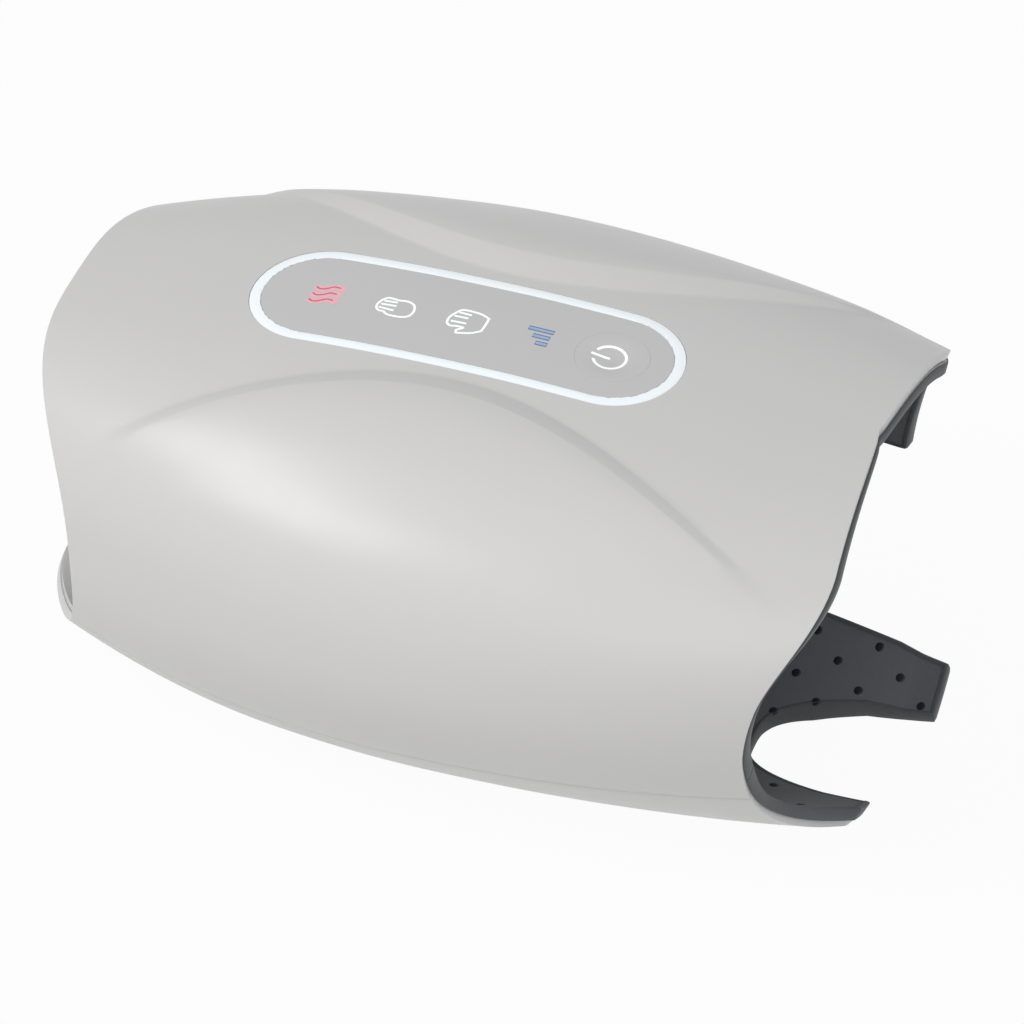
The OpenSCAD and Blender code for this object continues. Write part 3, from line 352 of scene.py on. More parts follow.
def skin_point(x, a, d):
    """Outer surface moved in by d, with the petals and the flat floor."""
    y = plain_point(x, a, 0)[..., 1]
    p = plain_point(x, a, d - petal_rise(x, a, y))
    p[..., 2] = np.maximum(p[..., 2], body().base_flat + d)
    return p


def strip_height(x, y, d):
    """Height of the strip between the petals over a point of the footprint, moved in by d."""
    n, m = top_round(x), waist_line(x)
    return m + (top_line(x) - d - m) * (1 - (np.abs(y) / (half_width(x) - d)) ** n) ** (1 / n)


def notch_rim(b, tip):
    """Rim of the U-shaped cut between prongs that end at a given tip: a short straight, then a third power."""
    s = body()
    flank = mix(tip, s.notch + NOTCH_FLARE, (b - TIP_IN_A) / (NOTCH_A - TIP_IN_A))
    cut = s.notch + NOTCH_FLARE * np.clip((180 - b) / (180 - NOTCH_A), 0, 1) ** 3
    return np.where(b < NOTCH_A, flank, cut)


def upper_rim(b):
    """Rim of the mouth's upper part: a power of the angle out to the corner, then a cosine back to the side."""
    s = body()
    corner = s.mouth_top + s.corner_out
    top = s.mouth_top + s.corner_out * (b / CORNER_A) ** 0.6
    back = 0.5 + 0.5 * np.cos(np.pi * np.clip((b - CORNER_A) / (DEEP_A - CORNER_A), 0, 1))
    return np.where(b < CORNER_A, top, mix(s.mouth_side, corner, back ** 0.95))


def mouth_rim(a):
    """Rim of the mouth by ring angle. On the near side a power of the angle leads out to the prong. The far side
    is cut off under its wall by the thumb opening, down to the far prong."""
    s = body()
    b, end = np.abs(a), s.length / 2
    out = np.clip((b - DEEP_A) / (NEAR_TIP_A - DEEP_A), 0, 1) ** 2.4
    near = np.select([b < DEEP_A, b < NEAR_TIP_A, b < TIP_IN_A],
                     [upper_rim(b), mix(s.mouth_side, s.near_tip, out), s.near_tip + 0 * b], notch_rim(b, s.near_tip))
    side = upper_rim(np.minimum(b, THUMB_A[0])) + FAR_SIDE_OUT * ease((b - 55) / 40)
    wall = mix(side, s.thumb, ease((b - THUMB_A[0]) / THUMB_EASE))
    root = mix(s.thumb, THUMB_ROOT_X, (b - THUMB_A[1]) / (THUMB_END_A - THUMB_A[1]))
    prong = mix(THUMB_ROOT_X, end, (b - THUMB_END_A) / (FAR_TIP_A - THUMB_END_A))
    far = np.select([b < THUMB_A[0], b < THUMB_A[1], b < THUMB_END_A, b < FAR_TIP_A, b < TIP_IN_A],
                    [side, wall, root, prong, end + 0 * b], notch_rim(b, end))
    return np.where(a > 0, near, far)


def rear_rim(a):
    """Rim of the rear opening: cosines of one, two and three times the ring angle."""
    s = body()
    end = s.length / 2
    m, k = (s.rear_top + end) / 2, (end - s.rear_top) / 2
    r = np.radians(a)
    return (-(m + s.rear_side) / 2 - (m - s.rear_side) / 2 * np.cos(2 * r)
            + (k - REAR_SKEW) * np.cos(r) + REAR_SKEW * np.cos(3 * r))


def tip_share(a):
    """How near a ring angle is to the near prong's tip, where the outer layers end before the lining does."""
    return ease((a - 138) / 14) * ease((172 - a) / 10)


def along(a, v, back, trim):
    """Place along the body of row v: square across between two stations, and following the rims at both ends.
    back is the distance to the rims, and trim what is taken off at the near prong's tip."""
    rear, mouth = rear_rim(a) + back, mouth_rim(a) - (FRONT_BACK if back > 0 else 0) - trim * tip_share(a)
    q = ROW_SHARE[0] + ROW_SHARE[1]
    behind = mix(rear, SQUARE_X[0], np.clip(v / ROW_SHARE[0], 0, 1) ** 1.1)
    middle = mix(SQUARE_X[0], SQUARE_X[1], (v - ROW_SHARE[0]) / ROW_SHARE[1])
    ahead = mix(SQUARE_X[1], mouth, 1 - np.clip((1 - v) / ROW_SHARE[2], 0, 1) ** 1.25)
    return np.where(v < ROW_SHARE[0], behind, np.where(v < q, middle, ahead))


def inset_share(x, a):
    """How far the tunnel wall has left the rims: 0 at a rim and 1 in the middle of the tunnel."""
    front = mix(94, 70, ease((np.abs(a) - 60) / 45))
    return ease((front - x) / 34) * ease((x - rear_rim(a) - 6) / 30)


def close_share(x, a):
    """How far the layers of the prongs have closed up: 0 in the tunnel and 1 at the prongs."""
    return ease((x - body().notch + 14) / 12) * ease((np.abs(a) - FRAME_PART_A) / 14)


def tunnel_point(x, a, d):
    """Outer face of the inner frames, moved in by d. At the prongs all layers are thinner and closer, and at the
    rear the frames come up to the shells."""
    s, t = body(), tunnel()
    g, shut = inset_share(x, a), close_share(x, a)
    tail = 1 - ease((x - rear_rim(a) - 2) / 10)
    out = s.wall + t.frame_gap + d * (1 - shut / 2) - (t.frame_gap - SEAT) * shut - (t.frame_gap - TAIL_GAP) * tail
    return ring_point(
        x, a, half_width(x) - out - g * t.side_depth, top_line(x) - out - g * t.roof_depth,
        np.maximum(floor_line(x, a), s.base_flat) + out + g * t.floor_depth, waist_line(x),
        mix(top_round(x), 4, g), mix(FLOOR_ROUND, 3.2, g))


def lining_depth():
    """How far the lining's outer face lies inside the frame's."""
    return tunnel().frame + LINING_GAP


def steps(stops, counts):
    """Values from stop to stop, each stretch with its own count of even steps."""
    parts = [np.linspace(a, b, n, endpoint=False) for a, b, n in zip(stops, stops[1:], counts)]
    return np.append(np.concatenate(parts), stops[-1])


def roof_ring(stops, counts):
    """Ring angles over the top, from those of the near half, which begins at 0."""
    half = steps(stops, counts)
    return np.concatenate([-half[:0:-1], half])


def floor_ring(part, counts):
    """Ring angles from a parting line on the near side round the floor to the one on the far side, with columns
    at all the corners of the mouth's rim. They go on past 180."""
    half = steps([part + SEAM, THUMB_A[1], THUMB_END_A, FAR_TIP_A, NEAR_TIP_A, TIP_IN_A, NOTCH_A, 180], counts)
    return np.concatenate([half, 360 - half[-2::-1]])


def signed(angles):
    """Ring angles past 180 as negative ones."""
    return np.where(angles > 180, angles - 360, angles)


def unit(v):
    """Vectors at the length of one."""
    return v / np.linalg.norm(v, axis=-1, keepdims=True)


def put_mesh(name, points, faces, uv=None):
    """Object with a mesh of these points, in millimetres, and of these faces; uv has a place for every point."""
    mesh = bpy.data.meshes.new(name)
    mesh.from_pydata((np.asarray(points) * MM).tolist(), [], list(map(list, faces)))
    if uv is not None:
        corners = np.empty(len(mesh.loops), np.int32)
        mesh.loops.foreach_get("vertex_index", corners)
        layer = mesh.uv_layers.new(name="UVMap")
        layer.data.foreach_set("uv", uv[corners].astype(np.float32).ravel())
    mesh.validate()
    piece = bpy.data.objects.new(name, mesh)
    bpy.context.scene.collection.objects.link(piece)
    return piece


def grid_faces(rows, cols, ring=False):
    """Quads of a grid of points, row by row; ring joins the last column to the first."""
    i = np.arange(rows - 1)[:, None]
    j = np.arange(cols if ring else cols - 1)[None, :]
    k = (j + 1) % cols
    return np.stack([i * cols + j, i * cols + k, (i + 1) * cols + k, (i + 1) * cols + j], -1).reshape(-1, 4)


def sheet_piece(name, points, uv=None):
    """Object with an open sheet from a grid of points, in millimetres."""
    rows, cols = points.shape[:2]
    flat_uv = None if uv is None else uv.reshape(-1, 2)
    return put_mesh(name, points.reshape(-1, 3), grid_faces(rows, cols), flat_uv)


def settle(piece):
    """Makes the modifiers part of the mesh."""
    graph = bpy.context.evaluated_depsgraph_get()
    graph.update()
    mesh = bpy.data.meshes.new_from_object(
        piece.evaluated_get(graph), preserve_all_data_layers=True, depsgraph=graph)
    piece.modifiers.clear()
    old = piece.data
    piece.data = mesh
    mesh.name = old.name
    bpy.data.meshes.remove(old)


def round_rim(piece, edge, angle=50):
    """Rounds the edges where two faces meet at more than this angle, and makes all modifiers final."""
    bevel = piece.modifiers.new("Rim", "BEVEL")
    bevel.width = edge * MM
    bevel.segments = 2
    bevel.limit_method = "ANGLE"
    bevel.angle_limit = math.radians(angle)
    settle(piece)


def thicken(piece, thickness, edge=0.0, even=False):
    """Gives a sheet its thickness inwards, and rounds the edges of its rim where an edge is given."""
    wall = piece.modifiers.new("Wall", "SOLIDIFY")
    wall.thickness = thickness * MM
    wall.offset = -1
    wall.use_even_offset = wall.use_quality_normals = even
    if edge:
        round_rim(piece, edge)
    else:
        settle(piece)


def cut(piece, cutter):
    """Takes the cutter out of the piece, and deletes the cutter."""
    hole = piece.modifiers.new("Cut", "BOOLEAN")
    hole.operation = "DIFFERENCE"
    hole.solver = "EXACT"
    hole.object = cutter
    settle(piece)
    bpy.data.objects.remove(cutter)


def smooth(piece, angle=35):
    """Smooth shading, with a sharp edge wherever two faces meet at more than this angle."""
    piece.data.shade_smooth()
    piece.data.set_sharp_from_angle(angle=math.radians(angle))


def loft(name, base, top):
    """Closed solid between two outlines of as many points; the top one goes counter-clockwise seen from outside."""
    n = len(base)
    caps = [list(range(n))[::-1], [n + i for i in range(n)]]
    sides = [[i, (i + 1) % n, n + (i + 1) % n, n + i] for i in range(n)]
    return put_mesh(name, np.vstack([base, top]), caps + sides)


def prism(name, outline, low, high):
    """Closed upright prism over an outline of (x, y) points, going round counter-clockwise."""
    return loft(name, *(np.column_stack([outline, np.full(len(outline), z)]) for z in (low, high)))


def stadium(r):
    """Outline r from the panel's axis: two half circles, joined by straights."""
    p = panel()
    half = (p.ring_length - p.ring_width) / 2
    t = np.radians(np.linspace(-90, 90, HALF_TURN + 1))
    run = np.linspace(half, -half, STRAIGHT + 1)[1:-1]
    right = np.column_stack([half + r * np.cos(t), r * np.sin(t)])
    right_and_top = np.vstack([right, np.column_stack([run, np.full(len(run), r)])])
    return np.vstack([right_and_top, -right_and_top]) + (p.ring_x, 0)


class Sock:
    """A shader socket that takes part in Python expressions: each operator adds its Math node."""

    def __init__(self, tree, out):
        self.tree = tree
        self.out = out

    def math(self, operation, *others):
        """Math node of this operation on this value and the others."""
        values = [self, *others]
        return self.tree.node("ShaderNodeMath", {"operation": operation}, dict(enumerate(values)))

    def __add__(self, other):
        return self.math("ADD", other)

    __radd__ = __add__

    def __mul__(self, other):
        return self.math("MULTIPLY", other)

    __rmul__ = __mul__

    def __sub__(self, other):
        return self.math("SUBTRACT", other)

    def __rsub__(self, other):
        return (self * -1) + other

    def __truediv__(self, other):
        return self.math("DIVIDE", other)

    def sin(self):
        """Sine, in radians."""
        return self.math("SINE")

    def above(self, edge):
        """1 where the value is over the edge."""
        return self.math("GREATER_THAN", edge)

    def held(self):
        """The value held between 0 and 1."""
        return self.tree.node("ShaderNodeClamp", {}, {0: self})


class Finish:
    """A new material and its node tree, with one Principled shader."""

    def __init__(self, name, **constants):
        self.material = bpy.data.materials.new(name)
        self.material.use_nodes = True
        self.nodes = self.material.node_tree.nodes
        self.links = self.material.node_tree.links
        self.shader = next(n for n in self.nodes if n.type == "BSDF_PRINCIPLED")
        for key, value in constants.items():
            socket = self.shader.inputs[key.replace("_", " ").title()]
            socket.default_value = (*value, 1.0) if isinstance(value, tuple) else value

    def node(self, kind, settings=None, inputs=None, output=0):
        """Adds a node, sets its settings, gives its sockets values or links, and returns one output."""
        made = self.nodes.new(kind)
        for key, value in (settings or {}).items():
            setattr(made, key, value)
        for key, value in (inputs or {}).items():
            if isinstance(value, Sock):
                self.links.new(value.out, made.inputs[key])
            else:
                made.inputs[key].default_value = value
        return Sock(self, made.outputs[output])

    def place(self, source="Object", scale=(1000, 1000, 1000)):
        """Coordinates of the surface in millimetres, or its own UV map, scaled for a pattern."""
        here = self.node("ShaderNodeTexCoord", output=source)
        return self.node("ShaderNodeMapping", {}, {"Vector": here, "Scale": scale})

    def split(self, vector):
        """The X, Y and Z of a vector."""
        made = self.nodes.new("ShaderNodeSeparateXYZ")
        self.links.new(vector.out, made.inputs[0])
        return [Sock(self, made.outputs[i]) for i in range(3)]

    def noise(self, place, scale, detail=3.0, roughness=0.5):
        """Noise at this scale, from 0 to 1."""
        return self.node("ShaderNodeTexNoise", {}, {
            "Vector": place, "Scale": scale, "Detail": detail, "Roughness": roughness})

    def blend(self, share, first, second):
        """Mix of two colours, on the colour sockets of the Mix node."""
        return self.node("ShaderNodeMix", {"data_type": "RGBA"}, {0: share, 6: (*first, 1), 7: (*second, 1)}, 2)

    def bump(self, height, strength, distance):
        """Puts a height on the shader's normal."""
        made = self.node("ShaderNodeBump", {}, {
            "Height": height, "Strength": strength, "Distance": distance})
        self.links.new(made.out, self.shader.inputs["Normal"])

    def set(self, name, value):
        """Links a socket of the shader."""
        self.links.new(value.out, self.shader.inputs[name])


def shade(colour, amount):
    """A colour made darker or lighter by a factor."""
    return tuple(min(1.0, c * amount) for c in colour)


def moulded(name, colour, rough, grain, change):
    """Moulded plastic: a fine eroded grain, slow changes of tone, and handling marks in the gloss."""
    f = Finish(name, roughness=rough)
    place = f.place()
    slow = f.noise(place, 0.018, 2.0)
    marks = f.noise(place, 0.11, 4.0, 0.6)
    fine = f.noise(place, 2.6, 2.0)
    tone = (slow * 0.8 + marks * 0.2).held()
    f.set("Base Color", f.blend(tone, shade(colour, 1 - change), shade(colour, 1 + change)))
    f.set("Roughness", marks * 0.1 + (rough - 0.05))
    f.bump(fine, grain, 0.00002)
    return f.material


def shell_plastic():
    """The casing's warm grey-white plastic, satin."""
    return moulded("grey-white casing", finish_colour("shell"), rough=0.36, grain=0.22, change=0.018)


def panel_plastic():
    """The touch panel's plastic, smoother than the casing."""
    return moulded("touch panel", finish_colour("panel"), rough=0.34, grain=0.1, change=0.012)


def frame_plastic():
    """Mid-grey plastic of the inner frames, with a coarser grain."""
    return moulded("grey inner frame", finish_colour("frame"), rough=0.5, grain=0.5, change=0.05)


def black_plastic():
    """Black plastic of the pump head, the switch and the manifold."""
    return moulded("black plastic", (0.018, 0.018, 0.02), rough=0.45, grain=0.6, change=0.2)


def lit_plastic():
    """Milky light guide: it glows evenly, a little brighter where a light source sits under it."""
    f = Finish("milky light guide", roughness=0.35, emission_strength=0.1)
    colour = finish_colour("light")
    place = f.place()
    spots = f.noise(place, 0.06, 1.0)
    f.set("Base Color", f.blend(spots, shade(colour, 0.94), colour))
    f.set("Emission Color", f.blend(spots, shade(colour, 0.85), colour))
    return f.material


def lit_symbol(name, core, edge, strength):
    """Lit print: a core colour with a paler edge, by noise along the strokes."""
    f = Finish(name, roughness=0.4, emission_strength=strength)
    cloud = f.noise(f.place(), 0.9, 2.0)
    colour = f.blend(cloud, core, edge)
    f.set("Base Color", colour)
    f.set("Emission Color", colour)
    return f.material


def knitted(name, colour, source="UV"):
    """Fine knit: rows of small loops, on the piece's own UV map in millimetres or on its place, with fuzz, and
    slow changes of tone. Its colour is painted darker in the hollows of the loops and lighter on their tops and on
    the fuzz, as painted shade and light."""
    f = Finish(name, roughness=0.9, sheen_weight=0.2, sheen_roughness=0.5)
    scale = (1, 1, 1) if source == "UV" else (1000, 1000, 1000)
    u, v, _ = f.split(f.place(source, scale))
    wave = (u * (2 * math.pi / 0.62)).sin()
    loops = (v * (2 * math.pi / 0.5) + wave * 1.4).sin()
    height = loops * 0.3 + wave * 0.2 + 0.5
    here = f.place()
    fuzz = f.noise(here, 1.4, 4.0, 0.65)
    slow = f.noise(here, 0.03, 2.0)
    # Partly painted shade and light: the loops' height and the fuzz, which also make the bump, darken the hollows and
    # lighten the tops; the slow noise is the yarn's own tone.
    tone = (height * 0.25 + fuzz * 0.3 + slow * 0.45).held()
    f.set("Base Color", f.blend(tone, shade(colour, 0.82), shade(colour, 1.18)))
    f.set("Roughness", fuzz * 0.12 + 0.82)
    f.bump(height + fuzz * 0.4, 0.3, 0.00008)
    return f.material


def rubber(name, colour, rough=0.6):
    """Rubber: a dusty bloom in patches and a slightly pitted surface."""
    f = Finish(name, roughness=rough)
    place = f.place()
    bloom = f.noise(place, 0.25, 4.0, 0.6)
    pits = f.noise(place, 3.0, 3.0)
    f.set("Base Color", f.blend(bloom, colour, shade(colour, 1.7)))
    f.set("Roughness", bloom * 0.2 + (rough - 0.1))
    f.bump(pits, 0.4, 0.00003)
    return f.material


def drawn_metal(name, colour, rough=0.28):
    """Drawn or turned metal: fine lines along X, and duller patches."""
    f = Finish(name, metallic=1.0, roughness=rough)
    lines = f.noise(f.place(scale=(40, 1500, 1500)), 2.0, 3.0)
    dull = f.noise(f.place(), 0.3, 3.0)
    f.set("Base Color", f.blend(dull, shade(colour, 0.85), colour))
    f.set("Roughness", lines * 0.12 + dull * 0.1 + (rough - 0.1))
    f.bump(lines, 0.15, 0.00002)
    return f.material


def circuit_board():
    """Green solder mask with paler tracks, by a grid of cells."""
    f = Finish("circuit board", roughness=0.35)
    cells = f.node("ShaderNodeTexVoronoi", {"feature": "DISTANCE_TO_EDGE"}, {"Vector": f.place(), "Scale": 0.4})
    tracks = 1 - (cells * 6).held()
    f.set("Base Color", f.blend(tracks.above(0.55), (0.012, 0.075, 0.04), (0.03, 0.16, 0.08)))
    f.bump(tracks, 0.4, 0.00005)
    return f.material


def wrapped_cell():
    """Blue shrink wrap round the battery, with its creases, painted darker in their hollows and lighter on their
    ridges as painted shade and light.
    """
    f = Finish("shrink wrap", roughness=0.3, coat_weight=0.3)
    creases = f.noise(f.place(scale=(1000, 200, 1000)), 0.25, 4.0)
    # Painted shade and light: the crease height that makes the bump also darkens the blue in the hollows and lightens
    # it on the ridges.
    f.set("Base Color", f.blend(creases, (0.02, 0.08, 0.22), (0.04, 0.14, 0.34)))
    f.bump(creases, 0.3, 0.0003)
    return f.material


def soft_film(name, colour):
    """Welded film of an air cell, or a heating film: soft creases and a slight gloss. The creases are painted darker
    in their hollows and lighter on their ridges, as painted shade and light.
    """
    f = Finish(name, roughness=0.35)
    creases = f.noise(f.place(), 0.09, 5.0, 0.6)
    # Painted shade and light: the crease height that makes the bump also darkens the film in the hollows and lightens
    # it on the ridges.
    f.set("Base Color", f.blend(creases, shade(colour, 0.8), shade(colour, 1.15)))
    f.bump(creases, 0.5, 0.0006)
    return f.material


def paint(piece, material):
    """Gives a piece one material."""
    piece.data.materials.clear()
    piece.data.materials.append(material)


def finish_piece(piece, material, body_name, slot, *nodes, angle=35):
    """Shades and paints a piece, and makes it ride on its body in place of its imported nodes."""
    smooth(piece, angle)
    paint(piece, material)
    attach(piece, body_name)
    if nodes:
        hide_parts(*nodes)
    return piece


def crease_angle(x, side):
    """Ring angle at which the near (-1) or far (+1) end of the petal's slope lies, by the section's formula."""
    y = crease_line(x) + side * crease_half(x)
    s = np.clip(y / half_width(x), 0, 0.95)
    return np.degrees(np.arcsin(s ** (top_round(x) / 2)))


def shell_columns(v):
    """Ring angles of the upper shell's columns in row v: close together over the slope of the petal's edge."""
    x = along(CORNER_A, v, 0.0, 0.0)
    foot = min(float(crease_angle(x, -1)), 35.0)
    crest = max(min(float(crease_angle(x, 1)), 41.0), foot + 2)
    return roof_ring([0, foot, crest, CORNER_A, *THUMB_STEP, PART_A - SEAM], [18, 18, 4, 28, 5, 8])


def floor_columns(_v):
    """Ring angles of the base shell's columns, the same in every row."""
    return floor_ring(PART_A, [14, 5, 8, 5, 8, 5, 20])


def shell_grid(columns, rows):
    """Points of the outer skin, row by row; columns gives the ring angles of a row."""
    out = []
    for v in np.linspace(0, 1, rows):
        a = signed(columns(v))
        out.append(skin_point(along(a, v, 0.0, SHELL_TRIM), a, 0.0))
    return np.array(out)


class MASSAGER_OT_upper_shell(bpy.types.Operator):
    """Top casing with the two petals and the pocket for the panel"""

    bl_idname = "massager.upper_shell"
    bl_label = "Upper Shell"

    def execute(self, context):
        s, p = body(), panel()
        piece = sheet_piece("upper_shell_skin", shell_grid(shell_columns, 190))
        thicken(piece, s.wall, SHELL_EDGE, even=True)
        pocket = stadium(p.ring_width / 2 + 0.1)
        cut(piece, prism("pocket", pocket, s.height - 12, s.height + 6))
        cut(piece, port_cutter(0.15))
        finish_piece(piece, shell_plastic(), "housing", "shell", "upper_shell")
        return {"FINISHED"}


class MASSAGER_OT_base_shell(bpy.types.Operator):
    """Lower casing with its two prongs and the flat floor"""

    bl_idname = "massager.base_shell"
    bl_label = "Base Shell"

    def execute(self, context):
        s = body()
        piece = sheet_piece("base_shell_skin", shell_grid(floor_columns, 150))
        thicken(piece, s.wall, SHELL_EDGE, even=True)
        for places, y, r, high in ((SCREW_X, SCREW_Y, RECESS_R, s.wall + 1), (FOOT_X, FOOT_Y, FOOT_R + 0.12, 1)):
            for x in places:
                for side in (-1, 1):
                    cut(piece, tube_cutter(x, side * y, r, -1, s.base_flat + high))
        finish_piece(piece, shell_plastic(), "housing", "shell", "base_shell")
        return {"FINISHED"}


def tube_cutter(x, y, r, low, high):
    """Upright cylinder that cuts a hole."""
    t = np.radians(np.arange(0, 360, 5))
    return prism("hole", np.column_stack([x + r * np.cos(t), y + r * np.sin(t)]), low, high)


def port_cutter(gap):
    """Prism along Y through the far wall, for the charging socket: two half circles and two straights."""
    t = np.radians(np.linspace(-90, 90, 17))
    right = np.column_stack([PORT_HALF + (PORT_R + gap) * np.cos(t), (PORT_R + gap) * np.sin(t)])
    x, z = np.vstack([right, -right]).T
    wall_y = half_width(PORT_X)
    ring = lambda y: np.column_stack([PORT_X + x, np.full(len(x), y), PORT_Z + z])
    return loft("slot", ring(wall_y + 6), ring(wall_y - 6))


def plate_grid(r, depth):
    """Points of a plate on the strip: nested stadiums out to r, each point lowered by depth."""
    layers = []
    for share in np.linspace(0.0, 1, PLATE_RINGS + 1)[1:]:
        line = stadium(r * share)
        layers.append(np.column_stack([line, strip_height(line[:, 0], line[:, 1], depth)]))
    return np.array(layers)


def strip_plate(name, r, top, bottom):
    """Closed plate on the strip, inside radius r, between two depths. Its middle is closed by strips between
    mirrored points of the smallest ring."""
    upper, lower = plate_grid(r, top), plate_grid(r, bottom)
    points = np.concatenate([upper, lower[::-1]]).reshape(-1, 3)
    cols = upper.shape[1]
    rows = 2 * len(upper)
    faces = [list(f[::-1]) for f in grid_faces(rows, cols, ring=True)]
    tip = HALF_TURN // 2
    pair = lambda j: (2 * tip - j) % cols
    last = (rows - 1) * cols
    for j in range(tip, tip + cols // 2):
        top_face = [j, pair(j), pair(j + 1), j + 1]
        faces.append([*dict.fromkeys(top_face)][::-1])
        faces.append([*dict.fromkeys([last + k for k in top_face])])
    return put_mesh(name, points, faces)


def key_place():
    """Middle of the power key and the turn of the strip there."""
    x = KEY_X
    fall = float(strip_height(x - 1, 0.0, 0.0) - strip_height(x + 1, 0.0, 0.0)) / 2
    return x, float(strip_height(x, 0.0, PANEL_SINK)), math.atan(fall)


class MASSAGER_OT_panel(bpy.types.Operator):
    """Touch panel and the lit ring round it"""

    bl_idname = "massager.panel"
    bl_label = "Panel and Ring"

    def execute(self, context):
        p = panel()
        inner = p.ring_width / 2 - p.ring_band
        plate = strip_plate("touch_panel", inner - 0.09, PANEL_SINK, p.thickness)
        x, _z, _turn = key_place()
        cut(plate, tube_cutter(x, 0.0, p.key_radius + 0.02, body().height - 20, body().height + 5))
        finish_piece(plate, panel_plastic(), "housing", "panel", "panel")
        ring = strip_plate("light_ring", p.ring_width / 2, RING_SINK, p.thickness)
        cut(ring, prism("inside", stadium(inner), body().height - 20, body().height + 6))
        round_rim(ring, 0.2, 60)
        finish_piece(ring, lit_plastic(), "housing", "light_guide", "ring_light")
        return {"FINISHED"}


def capped(name, grid, start, end):
    """Closed object from rings of points, row by row, with a fan of triangles to one point at either end."""
    rows, cols = grid.shape[:2]
    first, last, edge = rows * cols, rows * cols + 1, (rows - 1) * cols
    faces = grid_faces(rows, cols, ring=True).tolist()
    for j in range(cols):
        k = (j + 1) % cols
        faces += [[first, k, j], [last, edge + j, edge + k]]
    return put_mesh(name, np.vstack([grid.reshape(-1, 3), start, end]), faces)


def turned(name, profile, steps_round=72):
    """Solid of revolution about Z from a profile of (radius, height) points that starts and ends on the axis."""
    t = np.radians(np.arange(steps_round) * 360 / steps_round)
    profile = np.asarray(profile, float)
    r, z = profile[1:-1, :1], profile[1:-1, 1:]
    grid = np.stack(np.broadcast_arrays(r * np.cos(t), r * np.sin(t), z), -1)
    return capped(name, grid, [0, 0, profile[0, 1]], [0, 0, profile[-1, 1]])


def set_on_key(piece):
    """Moves a mesh from the origin to the key's place on the strip."""
    x, z, turn = key_place()
    piece.data.transform(Matrix.Translation((x * MM, 0, z * MM)) @ Matrix.Rotation(turn, 4, "Y"))


def dish_height(r):
    """Height of the key's face at radius r: a cosine dish that meets the rim level."""
    p = panel()
    return -p.key_dish * (0.5 + 0.5 * np.cos(np.pi * np.clip(r / (p.key_radius - 0.4), 0, 1)))


def key_face(x, y):
    """Height of the key's face: the panel's face, lowered by the dish."""
    return strip_height(x, y, PANEL_SINK) + dish_height(np.hypot(x - KEY_X, y))


class MASSAGER_OT_power_key(bpy.types.Operator):
    """Dished power key; its symbol is printed by the Symbols step"""

    bl_idname = "massager.power_key"
    bl_label = "Power Key"

    def execute(self, context):
        p = panel()
        radii = np.linspace(0, p.key_radius, 26)
        face = np.column_stack([radii, dish_height(radii)])
        under, step = -p.thickness, p.key_radius - 1.5
        side = [(p.key_radius, under - 0.4), (step, under - 0.4), (step, under - 1.2), (1.6, under - 1.2),
                (1.6, under - 2.2), (0, under - 2.2)]
        piece = turned("power_key_cap", np.vstack([face, side])[::-1])
        set_on_key(piece)
        points = coordinates(piece)
        top = points[:, 2] > key_place()[1] - p.key_dish - 0.5
        points[top, 2] = key_face(points[top, 0], points[top, 1])
        put_coordinates(piece, points)
        finish_piece(piece, panel_plastic(), "power_key", "panel", "power_key")
        return {"FINISHED"}


def stroke(path, width, closed=False):
    """Ribbon of this width along a path of (x, y) points: its left, middle and right points, and whether it is
    closed.
    """
    path = np.asarray(path, float)
    ahead = np.roll(path, -1, 0) - np.roll(path, 1, 0)
    if not closed:
        ahead[0], ahead[-1] = path[1] - path[0], path[-1] - path[-2]
    ahead /= np.linalg.norm(ahead, axis=1, keepdims=True)
    side = np.column_stack([-ahead[:, 1], ahead[:, 0]]) * width / 2
    return np.stack([path + side, path, path - side], 1), closed


def round_path(points, closed=False, per=6):
    """Smooth path through given points: each stretch is a cubic that shares its neighbours' slopes."""
    p = np.asarray(points, float)
    n = len(p)
    index = np.arange(n if closed else n - 1)
    pick = (lambda i: p[i % n]) if closed else (lambda i: p[np.clip(i, 0, n - 1)])
    a, b, c, d = pick(index - 1), pick(index), pick(index + 1), pick(index + 2)
    t = np.linspace(0, 1, per, endpoint=False)[None, :, None]
    a, b, c, d = (q[:, None, :] for q in (a, b, c, d))
    out = 0.5 * (2 * b + (c - a) * t + (2 * a - 5 * b + 4 * c - d) * t ** 2 + (3 * b - a - 3 * c + d) * t ** 3)
    out = out.reshape(-1, 2)
    return out if closed else np.vstack([out, p[-1]])


def print_strokes(name, strokes, lift, height_at):
    """Raised print: ribbons laid on a surface of known height, with a thin wall down into it."""
    points, faces = [], []
    base = 0
    for ribbon, closed in strokes:
        n = len(ribbon)
        flat = ribbon.reshape(-1, 2)
        points.append(np.column_stack([flat, height_at(flat[:, 0], flat[:, 1]) + lift]))
        i = np.arange(n if closed else n - 1)
        k = (i + 1) % n
        for j in (0, 1):
            faces.append(base + np.stack([i * 3 + j, i * 3 + j + 1, k * 3 + j + 1, k * 3 + j], -1))
        base += 3 * n
    piece = put_mesh(name, np.vstack(points), np.vstack(faces))
    thicken(piece, 0.1)
    return piece


def strip_print(x, y):
    """Height of the panel's face for print."""
    return strip_height(x, y, PANEL_SINK)


